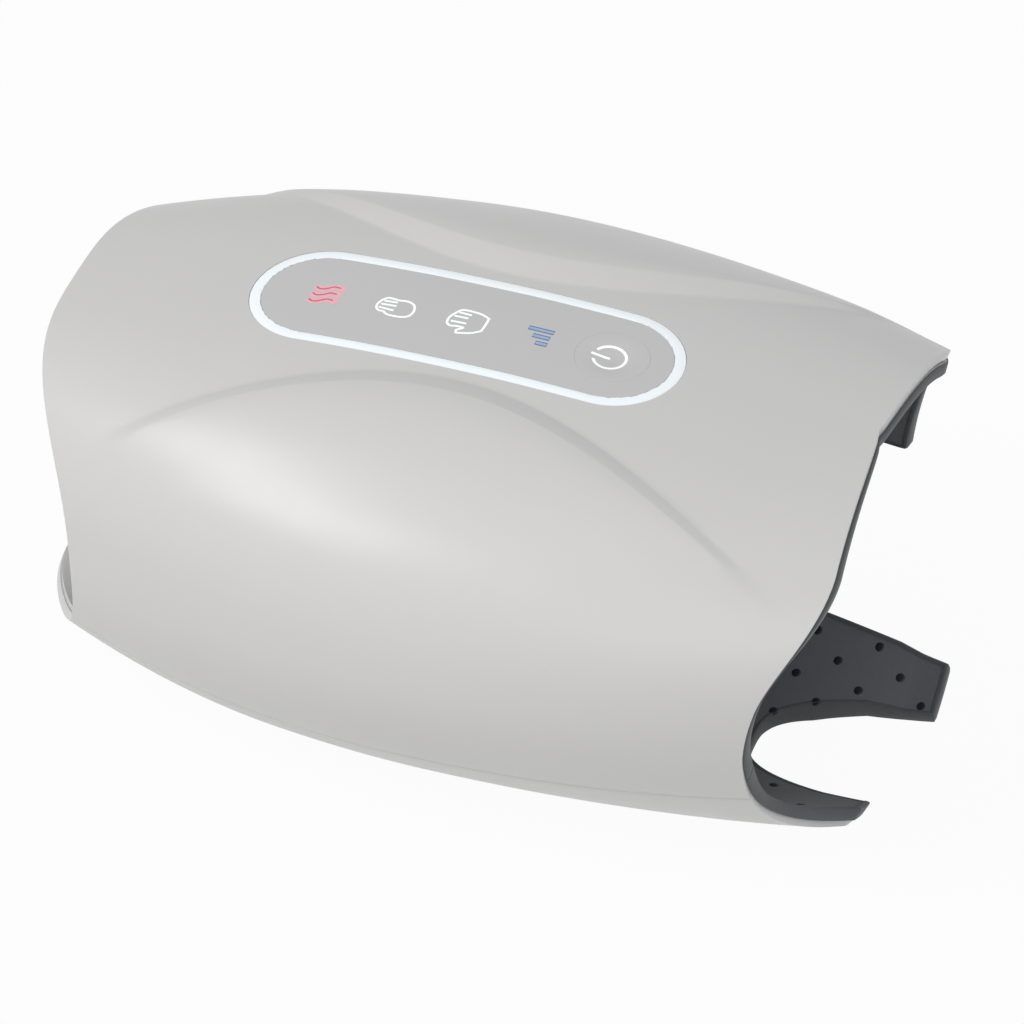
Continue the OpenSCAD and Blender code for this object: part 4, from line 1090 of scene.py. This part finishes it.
def heat_symbol(x):
    """Three wavy lines, side by side, that run along the body, each with a wider glow round it."""
    wave = [(-3.0, 0.2), (-1.8, -0.45), (-0.2, 0.1), (1.3, 1.05), (3.0, 0.9)]
    glow = [(-3.3, 0.2), (-1.8, -0.35), (-0.2, 0.1), (1.4, 0.9), (3.0, 0.8), (4.2, 0.4)]
    place = lambda points, k: round_path([(x + a + 0.1 * k, b + 2.5 * k) for a, b in points])
    return [stroke(place(glow, k), 2.1) for k in (-1, 0, 1)], [stroke(place(wave, k), 0.42) for k in (-1, 0, 1)]


def hand_strokes(x, outline, lines, per):
    """Strokes of a hand at x: its outline, with so many points to a stretch, and the lines between the fingers."""
    path = round_path([(x + a, b) for a, b in outline], closed=True, per=per)
    return [stroke(path, 0.6, closed=True)] + [stroke([(x + a, b) for a, b in line], 0.6) for line in lines]


def mitten_symbol(x):
    """Hand with closed fingers that points to the rear: an outline and three lines between the fingers."""
    outline = [(-2.1, 3.1), (0.3, 2.8), (2.4, 3.0), (4.2, 2.3), (5.1, 0.7), (5.1, -1.3), (4.1, -2.8), (1.8, -3.3),
               (-0.7, -3.1), (-1.9, -2.3), (-3.1, -2.2), (-4.0, -1.4), (-4.3, 0.0), (-3.9, 1.4), (-3.2, 2.5)]
    lines = [((-3.1, 1.7), (0.3, 1.9)), ((-3.5, 0.4), (0.5, 0.5)), ((-3.6, -0.9), (0.4, -1.3))]
    return hand_strokes(x, outline, lines, 6)


def spread_symbol(x):
    """Hand with a thumb that stands off and a straight wrist: an outline and three lines between the fingers."""
    outline = [(-1.7, 4.1), (0.8, 4.1), (2.8, 3.8), (4.9, 2.9), (5.1, 2.6), (5.1, 0.3), (4.9, -2.1), (4.6, -2.5),
               (2.7, -3.8), (-0.4, -4.7), (-0.8, -4.6), (-1.0, -3.7), (0.4, -2.5), (-1.4, -2.3), (-3.0, -2.6),
               (-4.1, -1.8), (-4.3, -0.3), (-4.1, 0.9), (-3.4, 2.3), (-2.7, 3.5)]
    lines = [((-2.6, 2.9), (0.7, 2.7)), ((-3.3, 1.3), (0.3, 1.3)), ((-3.5, -0.8), (0.5, -0.7))]
    return hand_strokes(x, outline, lines, 4)


def bars_symbol(x):
    """Three strength bars along the body, longest on the far side: pale fields with darker outlines."""
    fields, edges = [], []
    for k, half in enumerate((1.4, 2.1, 3.2)):
        y, centre = -1.9 + 2.45 * k, x + 1.6 - 0.8 * k
        fields.append(stroke([(centre - half, y), (centre + half, y)], 1.3))
        box = [(centre - half, y - 0.6), (centre + half, y - 0.6), (centre + half, y + 0.6), (centre - half, y + 0.6)]
        edges.append(stroke(round_path(box, closed=True, per=1), 0.28, closed=True))
    return fields, edges


def power_symbol():
    """Open ring with a bar in its gap, which faces the rear, a little behind the key's own middle."""
    t = np.radians(np.linspace(-154, 156, 60))
    middle = KEY_X + MARK_X
    ring = np.column_stack([middle + 4.05 * np.cos(t), 4.05 * np.sin(t)])
    bar = [(middle + a, 0.0) for a in (-4.7, -3.1, -1.5, 0.1)]
    return [stroke(ring, 0.75), stroke(bar, 0.75)]


class MASSAGER_OT_symbols(bpy.types.Operator):
    """Lit symbols on the panel and on the power key"""

    bl_idname = "massager.symbols"
    bl_label = "Symbols"

    def execute(self, context):
        p = panel()
        key_x, _z, _turn = key_place()
        x = [key_x + MARK_X - k * p.pitch for k in (1, 2, 3, 4)]
        white = lit_symbol("white print", (0.88, 0.89, 0.89), (0.96, 0.97, 0.97), 0.2)
        glow, core = heat_symbol(x[3] + 0.3)
        fields, edges = bars_symbol(x[0])
        made = [
            ("heat_glow", glow, 0.03, lit_symbol("pink print", (0.8, 0.38, 0.43), (0.84, 0.48, 0.52), 0.06)),
            ("heat_lines", core, 0.06, lit_symbol("red print", (0.42, 0.09, 0.14), (0.55, 0.17, 0.22), 0.05)),
            ("mitten_mark", mitten_symbol(x[2]), 0.04, white),
            ("spread_mark", spread_symbol(x[1]), 0.04, white),
            ("bar_fields", fields, 0.03, lit_symbol("pale blue print", (0.24, 0.37, 0.58), (0.36, 0.5, 0.7), 0.06)),
            ("bar_edges", edges, 0.06, lit_symbol("blue print", (0.07, 0.11, 0.22), (0.13, 0.2, 0.38), 0.03)),
        ]
        for name, strokes, lift, material in made:
            piece = print_strokes(name, strokes, lift, strip_print)
            finish_piece(piece, material, "housing", "panel")
        mark = print_strokes("power_mark", power_symbol(), 0.03, key_face)
        finish_piece(mark, white, "power_key", "panel")
        return {"FINISHED"}


# Columns of the frames and linings and, closer together, of their hems
ROOF_WALL = roof_ring([0, CORNER_A, *THUMB_STEP, FRAME_PART_A - SEAM], [22, 26, 5, 5])
FLOOR_WALL = floor_ring(FRAME_PART_A, [16, 5, 8, 5, 8, 5, 18])
ROOF_HEM = roof_ring([0, CORNER_A, 100, *THUMB_STEP, FRAME_PART_A - SEAM], [30, 40, 6, 12, 6])
FLOOR_HEM = floor_ring(FRAME_PART_A, [30, 12, 12, 8, 12, 14, 30])

# Both halves: the columns of the walls and of the hem, the heights between which the cushion's window is cut, and
# the length and width that the lining is cut to, in metres
HALVES = (
    ("upper", ROOF_WALL, ROOF_HEM, (70, 100), (0.19, 0.23)),
    ("lower", FLOOR_WALL, FLOOR_HEM, (14, 44), (0.19, 0.15)),
)

# How far in the hem begins, by ring angle: -0.15 is over the shell, 0.5 in its edge and 1 at the frame's outside;
# and by that share, how far the hem stands out before the rim
HEM_ANGLES = (-180, -75, -55, 15, 40, 152, 164, 170, 180)
HEM_SHARES = (-0.15, -0.15, 1.0, 1.0, 0.5, 0.5, 0.45, -0.15, -0.15)
HEM_STAND = ((-0.15, 0.5, 1.0), (0.35, 0.2, 0.05))


def tunnel_wall(name, angles, depth, thickness, edge, trim, rows=130, start=0.0):
    """Closed wall on the tunnel between two depths, from row share start to the mouth, with a rounded rim. Its
    UVs are in millimetres along the body and round the section."""
    a = signed(angles)[None, :]
    v = np.linspace(start, 1, rows)[:, None]
    x = along(a, v, RIM_BACK, trim)
    faces = [tunnel_point(x, a + 0 * x, d) for d in (depth, depth + thickness)]
    step = np.linalg.norm(np.diff(faces[1], axis=1), axis=2)
    around = np.concatenate([np.zeros((rows, 1)), np.cumsum(step, 1)], 1)
    around -= around[:, angles.size // 2][:, None]
    uv = np.tile(np.stack([x, around], -1).reshape(-1, 2), (2, 1))
    cols = angles.size
    half = rows * cols
    quads = grid_faces(rows, cols)
    border = np.concatenate([np.arange(cols), np.arange(2, rows + 1) * cols - 1,
                             half - 2 - np.arange(cols - 1), np.arange(rows - 2, 0, -1) * cols])
    after = np.roll(border, -1)
    rim = np.stack([border + half, after + half, after, border], -1)
    points = np.concatenate([f.reshape(-1, 3) for f in faces])
    piece = put_mesh(name, points, np.concatenate([quads, quads[:, ::-1] + half, rim]), uv)
    round_rim(piece, edge)
    return piece


def hem(name, angles, material):
    """Edge of the lining, turned over the frame's rim. Round the rim the section is a C: it covers the frame on
    top, half of the shell's edge on the near side, and the whole edge at the notch and on the far side."""
    a = signed(angles)
    x = mouth_rim(a)
    skin, frame_side = skin_point(x - SHELL_TRIM * tip_share(a), a, 0.0), tunnel_point(x, a, 0.0)
    inner = tunnel_point(x, a, lining_depth() + tunnel().lining)
    up = unit(skin - inner)
    ahead = unit(np.cross(up, np.gradient(skin, axis=0)))
    share = np.interp(a, HEM_ANGLES, HEM_SHARES)[:, None]
    stand = ahead * np.interp(share, *HEM_STAND)
    outer, inner = mix(skin, frame_side, share) + stand, inner + stand
    over = 0.25 * np.clip(-10 * share, 0, 1)
    section = ((0, -1.5, over), (0, -0.2, over), (0.1, 0.15, 0), (0.9, 0.15, 0),
               (1, -0.2, -0.15), (1, -0.9, -0.12), (1, -1.3, 0.1))
    rows = [mix(outer, inner, v) + ahead * forward + up * out for v, forward, out in section]
    piece = sheet_piece(name, np.array(rows))
    thicken(piece, 0.3, 0.08)
    return finish_piece(piece, material, "housing", "lining_fabric", angle=50)


def window_cutter(gap, low, high):
    """Prism through the frame and lining where a cushion comes through, with rounded corners."""
    w, h, r = WINDOW[0] + gap, WINDOW[1] + gap, 4.0
    t = np.radians(np.arange(0, 91, 15))
    corner = np.column_stack([r * np.cos(t), r * np.sin(t)])
    turn = lambda k: corner @ np.array([[math.cos(k), math.sin(k)], [-math.sin(k), math.cos(k)]])
    spots = [(w - r, h - r), (r - w, h - r), (r - w, r - h), (w - r, r - h)]
    outline = np.vstack([turn(k * math.pi / 2) + spot for k, spot in enumerate(spots)])
    return prism("window", outline, low, high)


class MASSAGER_OT_frames(bpy.types.Operator):
    """Grey inner frames, whose rims show round the lining"""

    bl_idname = "massager.frames"
    bl_label = "Inner Frames"

    def execute(self, context):
        for half, columns, _hem_columns, window, _cut_to in HALVES:
            piece = tunnel_wall(half + "_frame_shell", columns, 0.0, tunnel().frame, 0.3, FRAME_TRIM)
            cut(piece, window_cutter(1.0, *window))
            finish_piece(piece, frame_plastic(), "housing", "frame_plastic", half + "_frame")
        return {"FINISHED"}


class MASSAGER_OT_linings(bpy.types.Operator):
    """Knitted linings of the tunnel, stretched over the inner frames"""

    bl_idname = "massager.linings"
    bl_label = "Linings"

    def execute(self, context):
        knit = knitted("slate knit", finish_colour("fabric"))
        # The hem knit is the lining's fabric painted darker by 0.62 as painted shade, so that the hem, lit at the
        # rim, looks as dark as the shaded lining inside.
        hem_knit_painted_darker = knitted("hem knit", shade(finish_colour("fabric"), 0.62), "Object")
        for half, columns, hem_columns, window, cut_to in HALVES:
            node = half + "_lining"
            piece = tunnel_wall(
                node + "_knit", columns, lining_depth(), tunnel().lining, 0.35, 0.0, 110, LINING_START)
            cut(piece, window_cutter(0.4, *window))
            finish_piece(piece, knit, "housing", "lining_fabric", node)
            turned_edge = hem(node + "_hem", hem_columns, hem_knit_painted_darker)
        return {"FINISHED"}


class MASSAGER_OT_grip_dots(bpy.types.Operator):
    """Printed grip dots on the linings"""

    bl_idname = "massager.grip_dots"
    bl_label = "Grip Dots"

    def execute(self, context):
        r, sides = tunnel().dot_radius, 12
        ring = np.radians(np.arange(sides) * 360 / sides)
        rims = ((r, -0.1), (r * 0.94, 0.08), (r * 0.6, 0.14))
        cap = np.vstack([np.column_stack([q * np.cos(ring), q * np.sin(ring), np.full(sides, h)]) for q, h in rims]
                        + [[[0, 0, 0.16]]])
        top = sides * (len(rims) - 1)
        cells = grid_faces(len(rims), sides, ring=True).tolist()
        cells += [[top + j, top + (j + 1) % sides, len(cap) - 1] for j in range(sides)]
        points, faces = [], []
        for k, (spot, ahead, out) in enumerate(dot_places(lining_depth() + tunnel().lining)):
            points.append(cap @ np.stack([ahead, np.cross(out, ahead), out], 0) + spot)
            faces += [[corner + k * len(cap) for corner in cell] for cell in cells]
        piece = put_mesh("grip_dots", np.vstack(points), faces)
        finish_piece(piece, rubber("grip dots", (0.006, 0.006, 0.009), 0.5), "housing", "rubber_feet", angle=60)
        return {"FINISHED"}


# Grip dots on both halves of the lower lining: the place of one dot and the steps to the next ones, each along
# the body and round the section from the floor's middle line, in millimetres. No dot is nearer than DOT_MIDDLE to
# that line or than DOT_EDGE to the seams
DOT_GRIDS = {
    1: ((85.7, 27.5), (7.4, -6.8), (-9.4, -5.6)),
    -1: ((83.8, -19.7), (22.1, -6.8), (10.5, -13.0)),
}
DOT_MIDDLE = 2.5
DOT_EDGE = 1.5


def dot_places(depth):
    """Middles of the grip dots with the directions along the body and out of the lining: a skewed grid on each
    half of the floor, clear of the cushion window and of the lining's edges."""
    places = []
    turn = np.linspace(FRAME_PART_A - 178, 178 - FRAME_PART_A, 400)
    angles = np.where(turn > 0, turn - 180, turn + 180)
    for side, (start, step_a, step_b) in DOT_GRIDS.items():
        for i in range(-30, 31):
            for j in range(-30, 31):
                x = start[0] + i * step_a[0] + j * step_b[0]
                around = start[1] + i * step_a[1] + j * step_b[1]
                if around * side < DOT_MIDDLE or abs(around) > 90 or not -80 < x < 112:
                    continue
                line = tunnel_point(np.full_like(turn, x), angles, depth)
                arc = np.concatenate([[0], np.cumsum(np.linalg.norm(np.diff(line, axis=0), axis=1))])
                arc -= np.interp(0, turn, arc)
                if not arc[0] + DOT_EDGE <= around <= arc[-1] - DOT_EDGE:
                    continue
                bend = float(np.interp(around, arc, turn))
                a = bend - 180 if bend > 0 else bend + 180
                here = tunnel_point(x, a, depth)
                inside = along(a, LINING_START, RIM_BACK, 0.0) + 3 < x < mouth_rim(a) - 0.5
                if not inside or (abs(x) < WINDOW[0] + 3 and abs(here[1]) < WINDOW[1] + 3):
                    continue
                ahead = unit(tunnel_point(x + 0.5, a, depth) - tunnel_point(x - 0.5, a, depth))
                sideways = tunnel_point(x, a + 0.5, depth) - tunnel_point(x, a - 0.5, depth)
                places.append((here, ahead, unit(np.cross(ahead, sideways))))
    return places


# Cushions: cloth settings, cell size of the cloth, frames and greatest way of its swelling, and the sewn channels
CLOTH = {
    "quality": 6, "mass": 0.1, "tension_stiffness": 8, "compression_stiffness": 8, "bending_stiffness": 0.4,
    "use_pressure": True, "uniform_pressure_force": 4,
}
CLOTH_CELL = 2.4
SWELL_FRAMES = 20
SWELL_CAP = 1.6
CHANNEL_X = (-21.0, 0.0, 21.0)
CHANNEL_HALF = 1.5
CHANNEL_DEPTH = 1.5
STITCH = 2.6
OUTLINE_POWER = 0.3


def box_of(node):
    """Low and high corner, middle and half size of a node's box, in millimetres."""
    low, high = (np.array(corner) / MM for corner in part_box(node))
    return low, high, (low + high) / 2, (high - low) / 2


def pillow(name, node, face):
    """Closed pillow in a node's box, a little smaller than it: a super-ellipse outline, a crowned face and a back
    that is flat. face is 1 where the crown looks up."""
    _low, _high, centre, half = box_of(node)
    cols = 96
    t = np.radians(np.arange(cols) * 360 / cols)
    edge = np.stack([np.cos(t), np.sin(t)], -1)
    edge = np.sign(edge) * np.abs(edge) ** OUTLINE_POWER
    spread = np.concatenate([np.linspace(0.08, 0.94, 14), [0.965, 0.975, 0.965], np.linspace(0.93, 0.08, 12)])
    height = np.concatenate([np.full(14, 0.72), [0.45, 0.0, -0.6], np.full(12, -0.9)])
    grid = np.empty((len(spread), cols, 3))
    grid[..., :2] = centre[:2] + edge[None] * spread[:, None, None] * half[:2]
    flat = (grid[..., :2] - centre[:2]) / half[:2]
    crown = 0.2 * (np.abs(flat[..., 0]) ** 4 + np.abs(flat[..., 1]) ** 4) * (height > 0.5)[:, None]
    grid[..., 2] = centre[2] + face * half[2] * (height[:, None] - crown)
    if face > 0:
        grid = grid[::-1]
    return capped(name, grid, grid[0].mean(0), grid[-1].mean(0))


def coordinates(piece):
    """The mesh's points, in millimetres."""
    flat = np.empty(len(piece.data.vertices) * 3)
    piece.data.vertices.foreach_get("co", flat)
    return flat.reshape(-1, 3) / MM


def put_coordinates(piece, points):
    """Moves the mesh's points, in millimetres."""
    piece.data.vertices.foreach_set("co", (points * MM).ravel())
    piece.data.update()


def inflate(piece, cap):
    """Lets cloth swell under pressure, without weight, and holds each point within cap of where it started."""
    remesh = piece.modifiers.new("Even", "REMESH")
    remesh.mode = "VOXEL"
    remesh.voxel_size = CLOTH_CELL * MM
    settle(piece)
    before = coordinates(piece)
    scene = bpy.context.scene
    cloth = piece.modifiers.new("Cloth", "CLOTH")
    for name, value in CLOTH.items():
        setattr(cloth.settings, name, value)
    cloth.settings.effector_weights.gravity = 0
    cloth.point_cache.frame_start = 1
    cloth.point_cache.frame_end = SWELL_FRAMES
    for moment in range(1, SWELL_FRAMES + 1):
        scene.frame_set(moment)
    settle(piece)
    scene.frame_set(1)
    move = coordinates(piece) - before
    reach = np.linalg.norm(move, axis=1, keepdims=True)
    put_coordinates(piece, before + move * np.minimum(1, cap / np.maximum(reach, 1e-9)))


def sew_channels(piece, node, face):
    """Sews three channels across the pillow's face: narrow grooves with a bell-shaped section, and the puckers of
    their stitches. The swollen pillow is held inside its node's box."""
    low, high, centre, half = box_of(node)
    fine = piece.modifiers.new("Fine", "SUBSURF")
    fine.levels = fine.render_levels = 1
    settle(piece)
    p = coordinates(piece)
    on_face = ease(((p[:, 2] - centre[2]) / half[2] * face - 0.1) / 0.4)
    for middle in CHANNEL_X:
        groove = np.exp(-((p[:, 0] - centre[0] - middle) / CHANNEL_HALF) ** 2)
        pucker = 0.85 + 0.15 * np.cos(p[:, 1] * 2 * np.pi / STITCH)
        p[:, 2] -= face * CHANNEL_DEPTH * groove * pucker * on_face
    put_coordinates(piece, np.clip(p, low + 0.05, high - 0.05))


class MASSAGER_OT_cushions(bpy.types.Operator):
    """Padded cushions that the air cells press on the hand"""

    bl_idname = "massager.cushions"
    bl_label = "Cushions"

    def execute(self, context):
        knit = knitted("cushion knit", finish_colour("fabric"), "Object")
        for name, node, face in (("upper_pad", "upper_cushion", -1), ("lower_pad", "lower_cushion", 1)):
            piece = pillow(name, node, face)
            inflate(piece, SWELL_CAP)
            sew_channels(piece, node, face)
            finish_piece(piece, knit, node, "lining_fabric", node, angle=70)
        return {"FINISHED"}


class MASSAGER_OT_inner_parts(bpy.types.Operator):
    """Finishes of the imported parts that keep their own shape"""

    bl_idname = "massager.inner_parts"
    bl_label = "Inner Parts"

    def execute(self, context):
        finish_of = {
            black_plastic(): ("key_switch", "pump_head", "air_manifold"),
            circuit_board(): ("touch_board", "main_board"),
            drawn_metal("nickel-plated steel", (0.55, 0.55, 0.57)): (
                "touch_springs", "charge_port", "pump_motor", "fill_plunger", "vent_plunger", "case_screws"),
            wrapped_cell(): ("battery",),
            frame_plastic(): ("tray", "lower_tray", "valve_bodies"),
            drawn_metal("turned brass", (0.6, 0.42, 0.16)): ("pump_rotor",),
            rubber("soft mount", (0.02, 0.02, 0.02)): ("pump_cradle", "valve_cradle"),
            rubber("silicone hose", (0.55, 0.57, 0.56), 0.4): (
                "pump_hose", "valve_hoses", "upper_hose", "lower_hose"),
            soft_film("air cell film", (0.3, 0.42, 0.5)): ("upper_cell", "lower_cell"),
            soft_film("heating film", (0.42, 0.18, 0.05)): ("heat_film",),
            rubber("grey rubber feet", (0.04, 0.04, 0.042)): ("feet",),
        }
        for material, names in finish_of.items():
            for name in names:
                paint(frame["nodes"][name], material)
        return {"FINISHED"}


# The camera looks from the near right, from above, with a long lens
CAMERA_TARGET = (3.0, 0.0, 60.0)
CAMERA_AZIMUTH = 20.324
CAMERA_ELEVATION = 40.689
CAMERA_DISTANCE = 1661.0
CAMERA_LENS = 236.0
CAMERA_SHIFT = (0.0189, -0.0005)
CAMERA_ROLL = -0.383


def soft_lamp(name, place, size, power, colour=(1, 1, 1)):
    """Square area lamp that faces the middle of the sleeve."""
    lamp = bpy.data.lights.new(name, "AREA")
    lamp.shape = "SQUARE"
    lamp.size = size
    lamp.energy = power
    lamp.color = colour
    made = bpy.data.objects.new(name, lamp)
    made.location = place
    made.rotation_euler = (Vector((0, 0, 0.06)) - Vector(place)).to_track_quat("-Z", "Y").to_euler()
    bpy.context.scene.collection.objects.link(made)


def show_pale(tree, plain, kind, tone, share):
    """Mixes a plain shader, by a share, with an even tone that only the camera, reflections and clear pieces see."""
    path = tree.nodes.new("ShaderNodeLightPath")
    seen = path.outputs["Is Camera Ray"]
    for operation, other in (("ADD", path.outputs["Is Glossy Ray"]), ("ADD", path.outputs["Is Transmission Ray"]),
                             ("MULTIPLY", None)):
        step = tree.nodes.new("ShaderNodeMath")
        step.operation = operation
        step.use_clamp = True
        step.inputs[1].default_value = share
        tree.links.new(seen, step.inputs[0])
        if other:
            tree.links.new(other, step.inputs[1])
        seen = step.outputs[0]
    pale = tree.nodes.new(kind)
    pale.inputs["Color"].default_value = (tone, tone, tone, 1)
    blend = tree.nodes.new("ShaderNodeMixShader")
    for socket, source in zip(blend.inputs, (seen, plain.outputs[0], pale.outputs[0])):
        tree.links.new(source, socket)
    out = next(n for n in tree.nodes if n.type.startswith("OUTPUT"))
    tree.links.new(blend.outputs[0], out.inputs[0])


class MASSAGER_OT_stage(bpy.types.Operator):
    """Pale floor, soft studio light and the camera"""

    bl_idname = "massager.stage"
    bl_label = "Stage"

    def execute(self, context):
        scene = context.scene
        scene.view_settings.view_transform = "Standard"
        self.floor()
        self.world(scene)
        soft_lamp("key_light", (-0.75, -0.75, 1.15), 0.7, 10.8, (1.0, 0.992, 0.98))
        soft_lamp("front_light", (0.5, -1.2, 0.7), 1.0, 3.6)
        soft_lamp("mouth_light", (1.15, -0.6, 0.6), 0.6, 1.3)
        soft_lamp("back_light", (0.3, 1.1, 0.9), 0.9, 1.0)
        self.camera(scene)
        return {"FINISHED"}

    def floor(self):
        """Wide floor that shows white to the camera and keeps a soft shadow."""
        plane = put_mesh("studio_floor", np.array([[-4000, -4000, 0], [4000, -4000, 0], [4000, 4000, 0],
                                                   [-4000, 4000, 0]], float), [[0, 1, 2, 3]])
        f = Finish("pale floor", base_color=(0.85, 0.85, 0.85), roughness=0.9)
        cloud = f.noise(f.place(), 0.004, 2.0)
        f.set("Base Color", f.blend(cloud, (0.66, 0.66, 0.66), (0.7, 0.7, 0.7)))
        show_pale(f.material.node_tree, f.shader, "ShaderNodeEmission", 1.0, 0.95)
        paint(plane, f.material)

    def world(self, scene):
        """Even grey light all round, and a paler tone where the camera or a reflection looks past everything."""
        world = bpy.data.worlds.new("studio")
        scene.world = world
        world.use_nodes = True
        back = next(n for n in world.node_tree.nodes if n.type == "BACKGROUND")
        back.inputs["Color"].default_value = (0.95, 0.97, 1.0, 1)
        back.inputs["Strength"].default_value = 0.5
        show_pale(world.node_tree, back, "ShaderNodeBackground", 0.8, 1.0)

    def camera(self, scene):
        """Camera at the photograph's azimuth and elevation, rolled a little about its own axis."""
        az, el = math.radians(CAMERA_AZIMUTH), math.radians(CAMERA_ELEVATION)
        away = Vector((math.sin(az) * math.cos(el), -math.cos(az) * math.cos(el), math.sin(el)))
        lens = bpy.data.cameras.new("camera")
        lens.lens = CAMERA_LENS
        lens.sensor_width = 36
        lens.shift_x, lens.shift_y = CAMERA_SHIFT
        lens.clip_end = 20
        camera = bpy.data.objects.new("camera", lens)
        camera.location = (Vector(CAMERA_TARGET) + away * CAMERA_DISTANCE) * MM
        look = (-away).to_track_quat("-Z", "Y")
        camera.rotation_mode = "QUATERNION"
        camera.rotation_quaternion = look @ Quaternion((0, 0, 1), math.radians(CAMERA_ROLL))
        scene.collection.objects.link(camera)
        scene.camera = camera


class MASSAGER_PT_parts(bpy.types.Panel):
    """Lists the steps that build the massager"""

    bl_label = "Hand Massager"
    bl_space_type = "VIEW_3D"
    bl_region_type = "UI"
    bl_category = "Massager"

    def draw(self, context):
        for step in STEPS:
            self.layout.operator(step.bl_idname)


STEPS = (MASSAGER_OT_stage, MASSAGER_OT_upper_shell, MASSAGER_OT_base_shell, MASSAGER_OT_panel,
         MASSAGER_OT_power_key, MASSAGER_OT_symbols, MASSAGER_OT_frames, MASSAGER_OT_linings,
         MASSAGER_OT_grip_dots, MASSAGER_OT_cushions, MASSAGER_OT_inner_parts)
GROUPS = {"massager_body": BodySizes, "massager_panel": PanelSizes, "massager_tunnel": TunnelSizes,
          "massager_finishes": Finishes}


def register():
    """Registers the classes and hangs the sizes on the scene."""
    for kind in (*GROUPS.values(), *STEPS, MASSAGER_PT_parts):
        bpy.utils.register_class(kind)
    for name, kind in GROUPS.items():
        setattr(bpy.types.Scene, name, bpy.props.PointerProperty(type=kind))


def unregister():
    """Takes the sizes and the classes away."""
    for name in GROUPS:
        delattr(bpy.types.Scene, name)
    for kind in (MASSAGER_PT_parts, *reversed(STEPS), *GROUPS.values()):
        bpy.utils.unregister_class(kind)


def main():
    """Builds every piece."""
    register()
    for step in STEPS:
        group, name = step.bl_idname.split(".")
        getattr(getattr(bpy.ops, group), name)()
    bpy.context.view_layer.update()


if __name__ == "__main__":
    main()
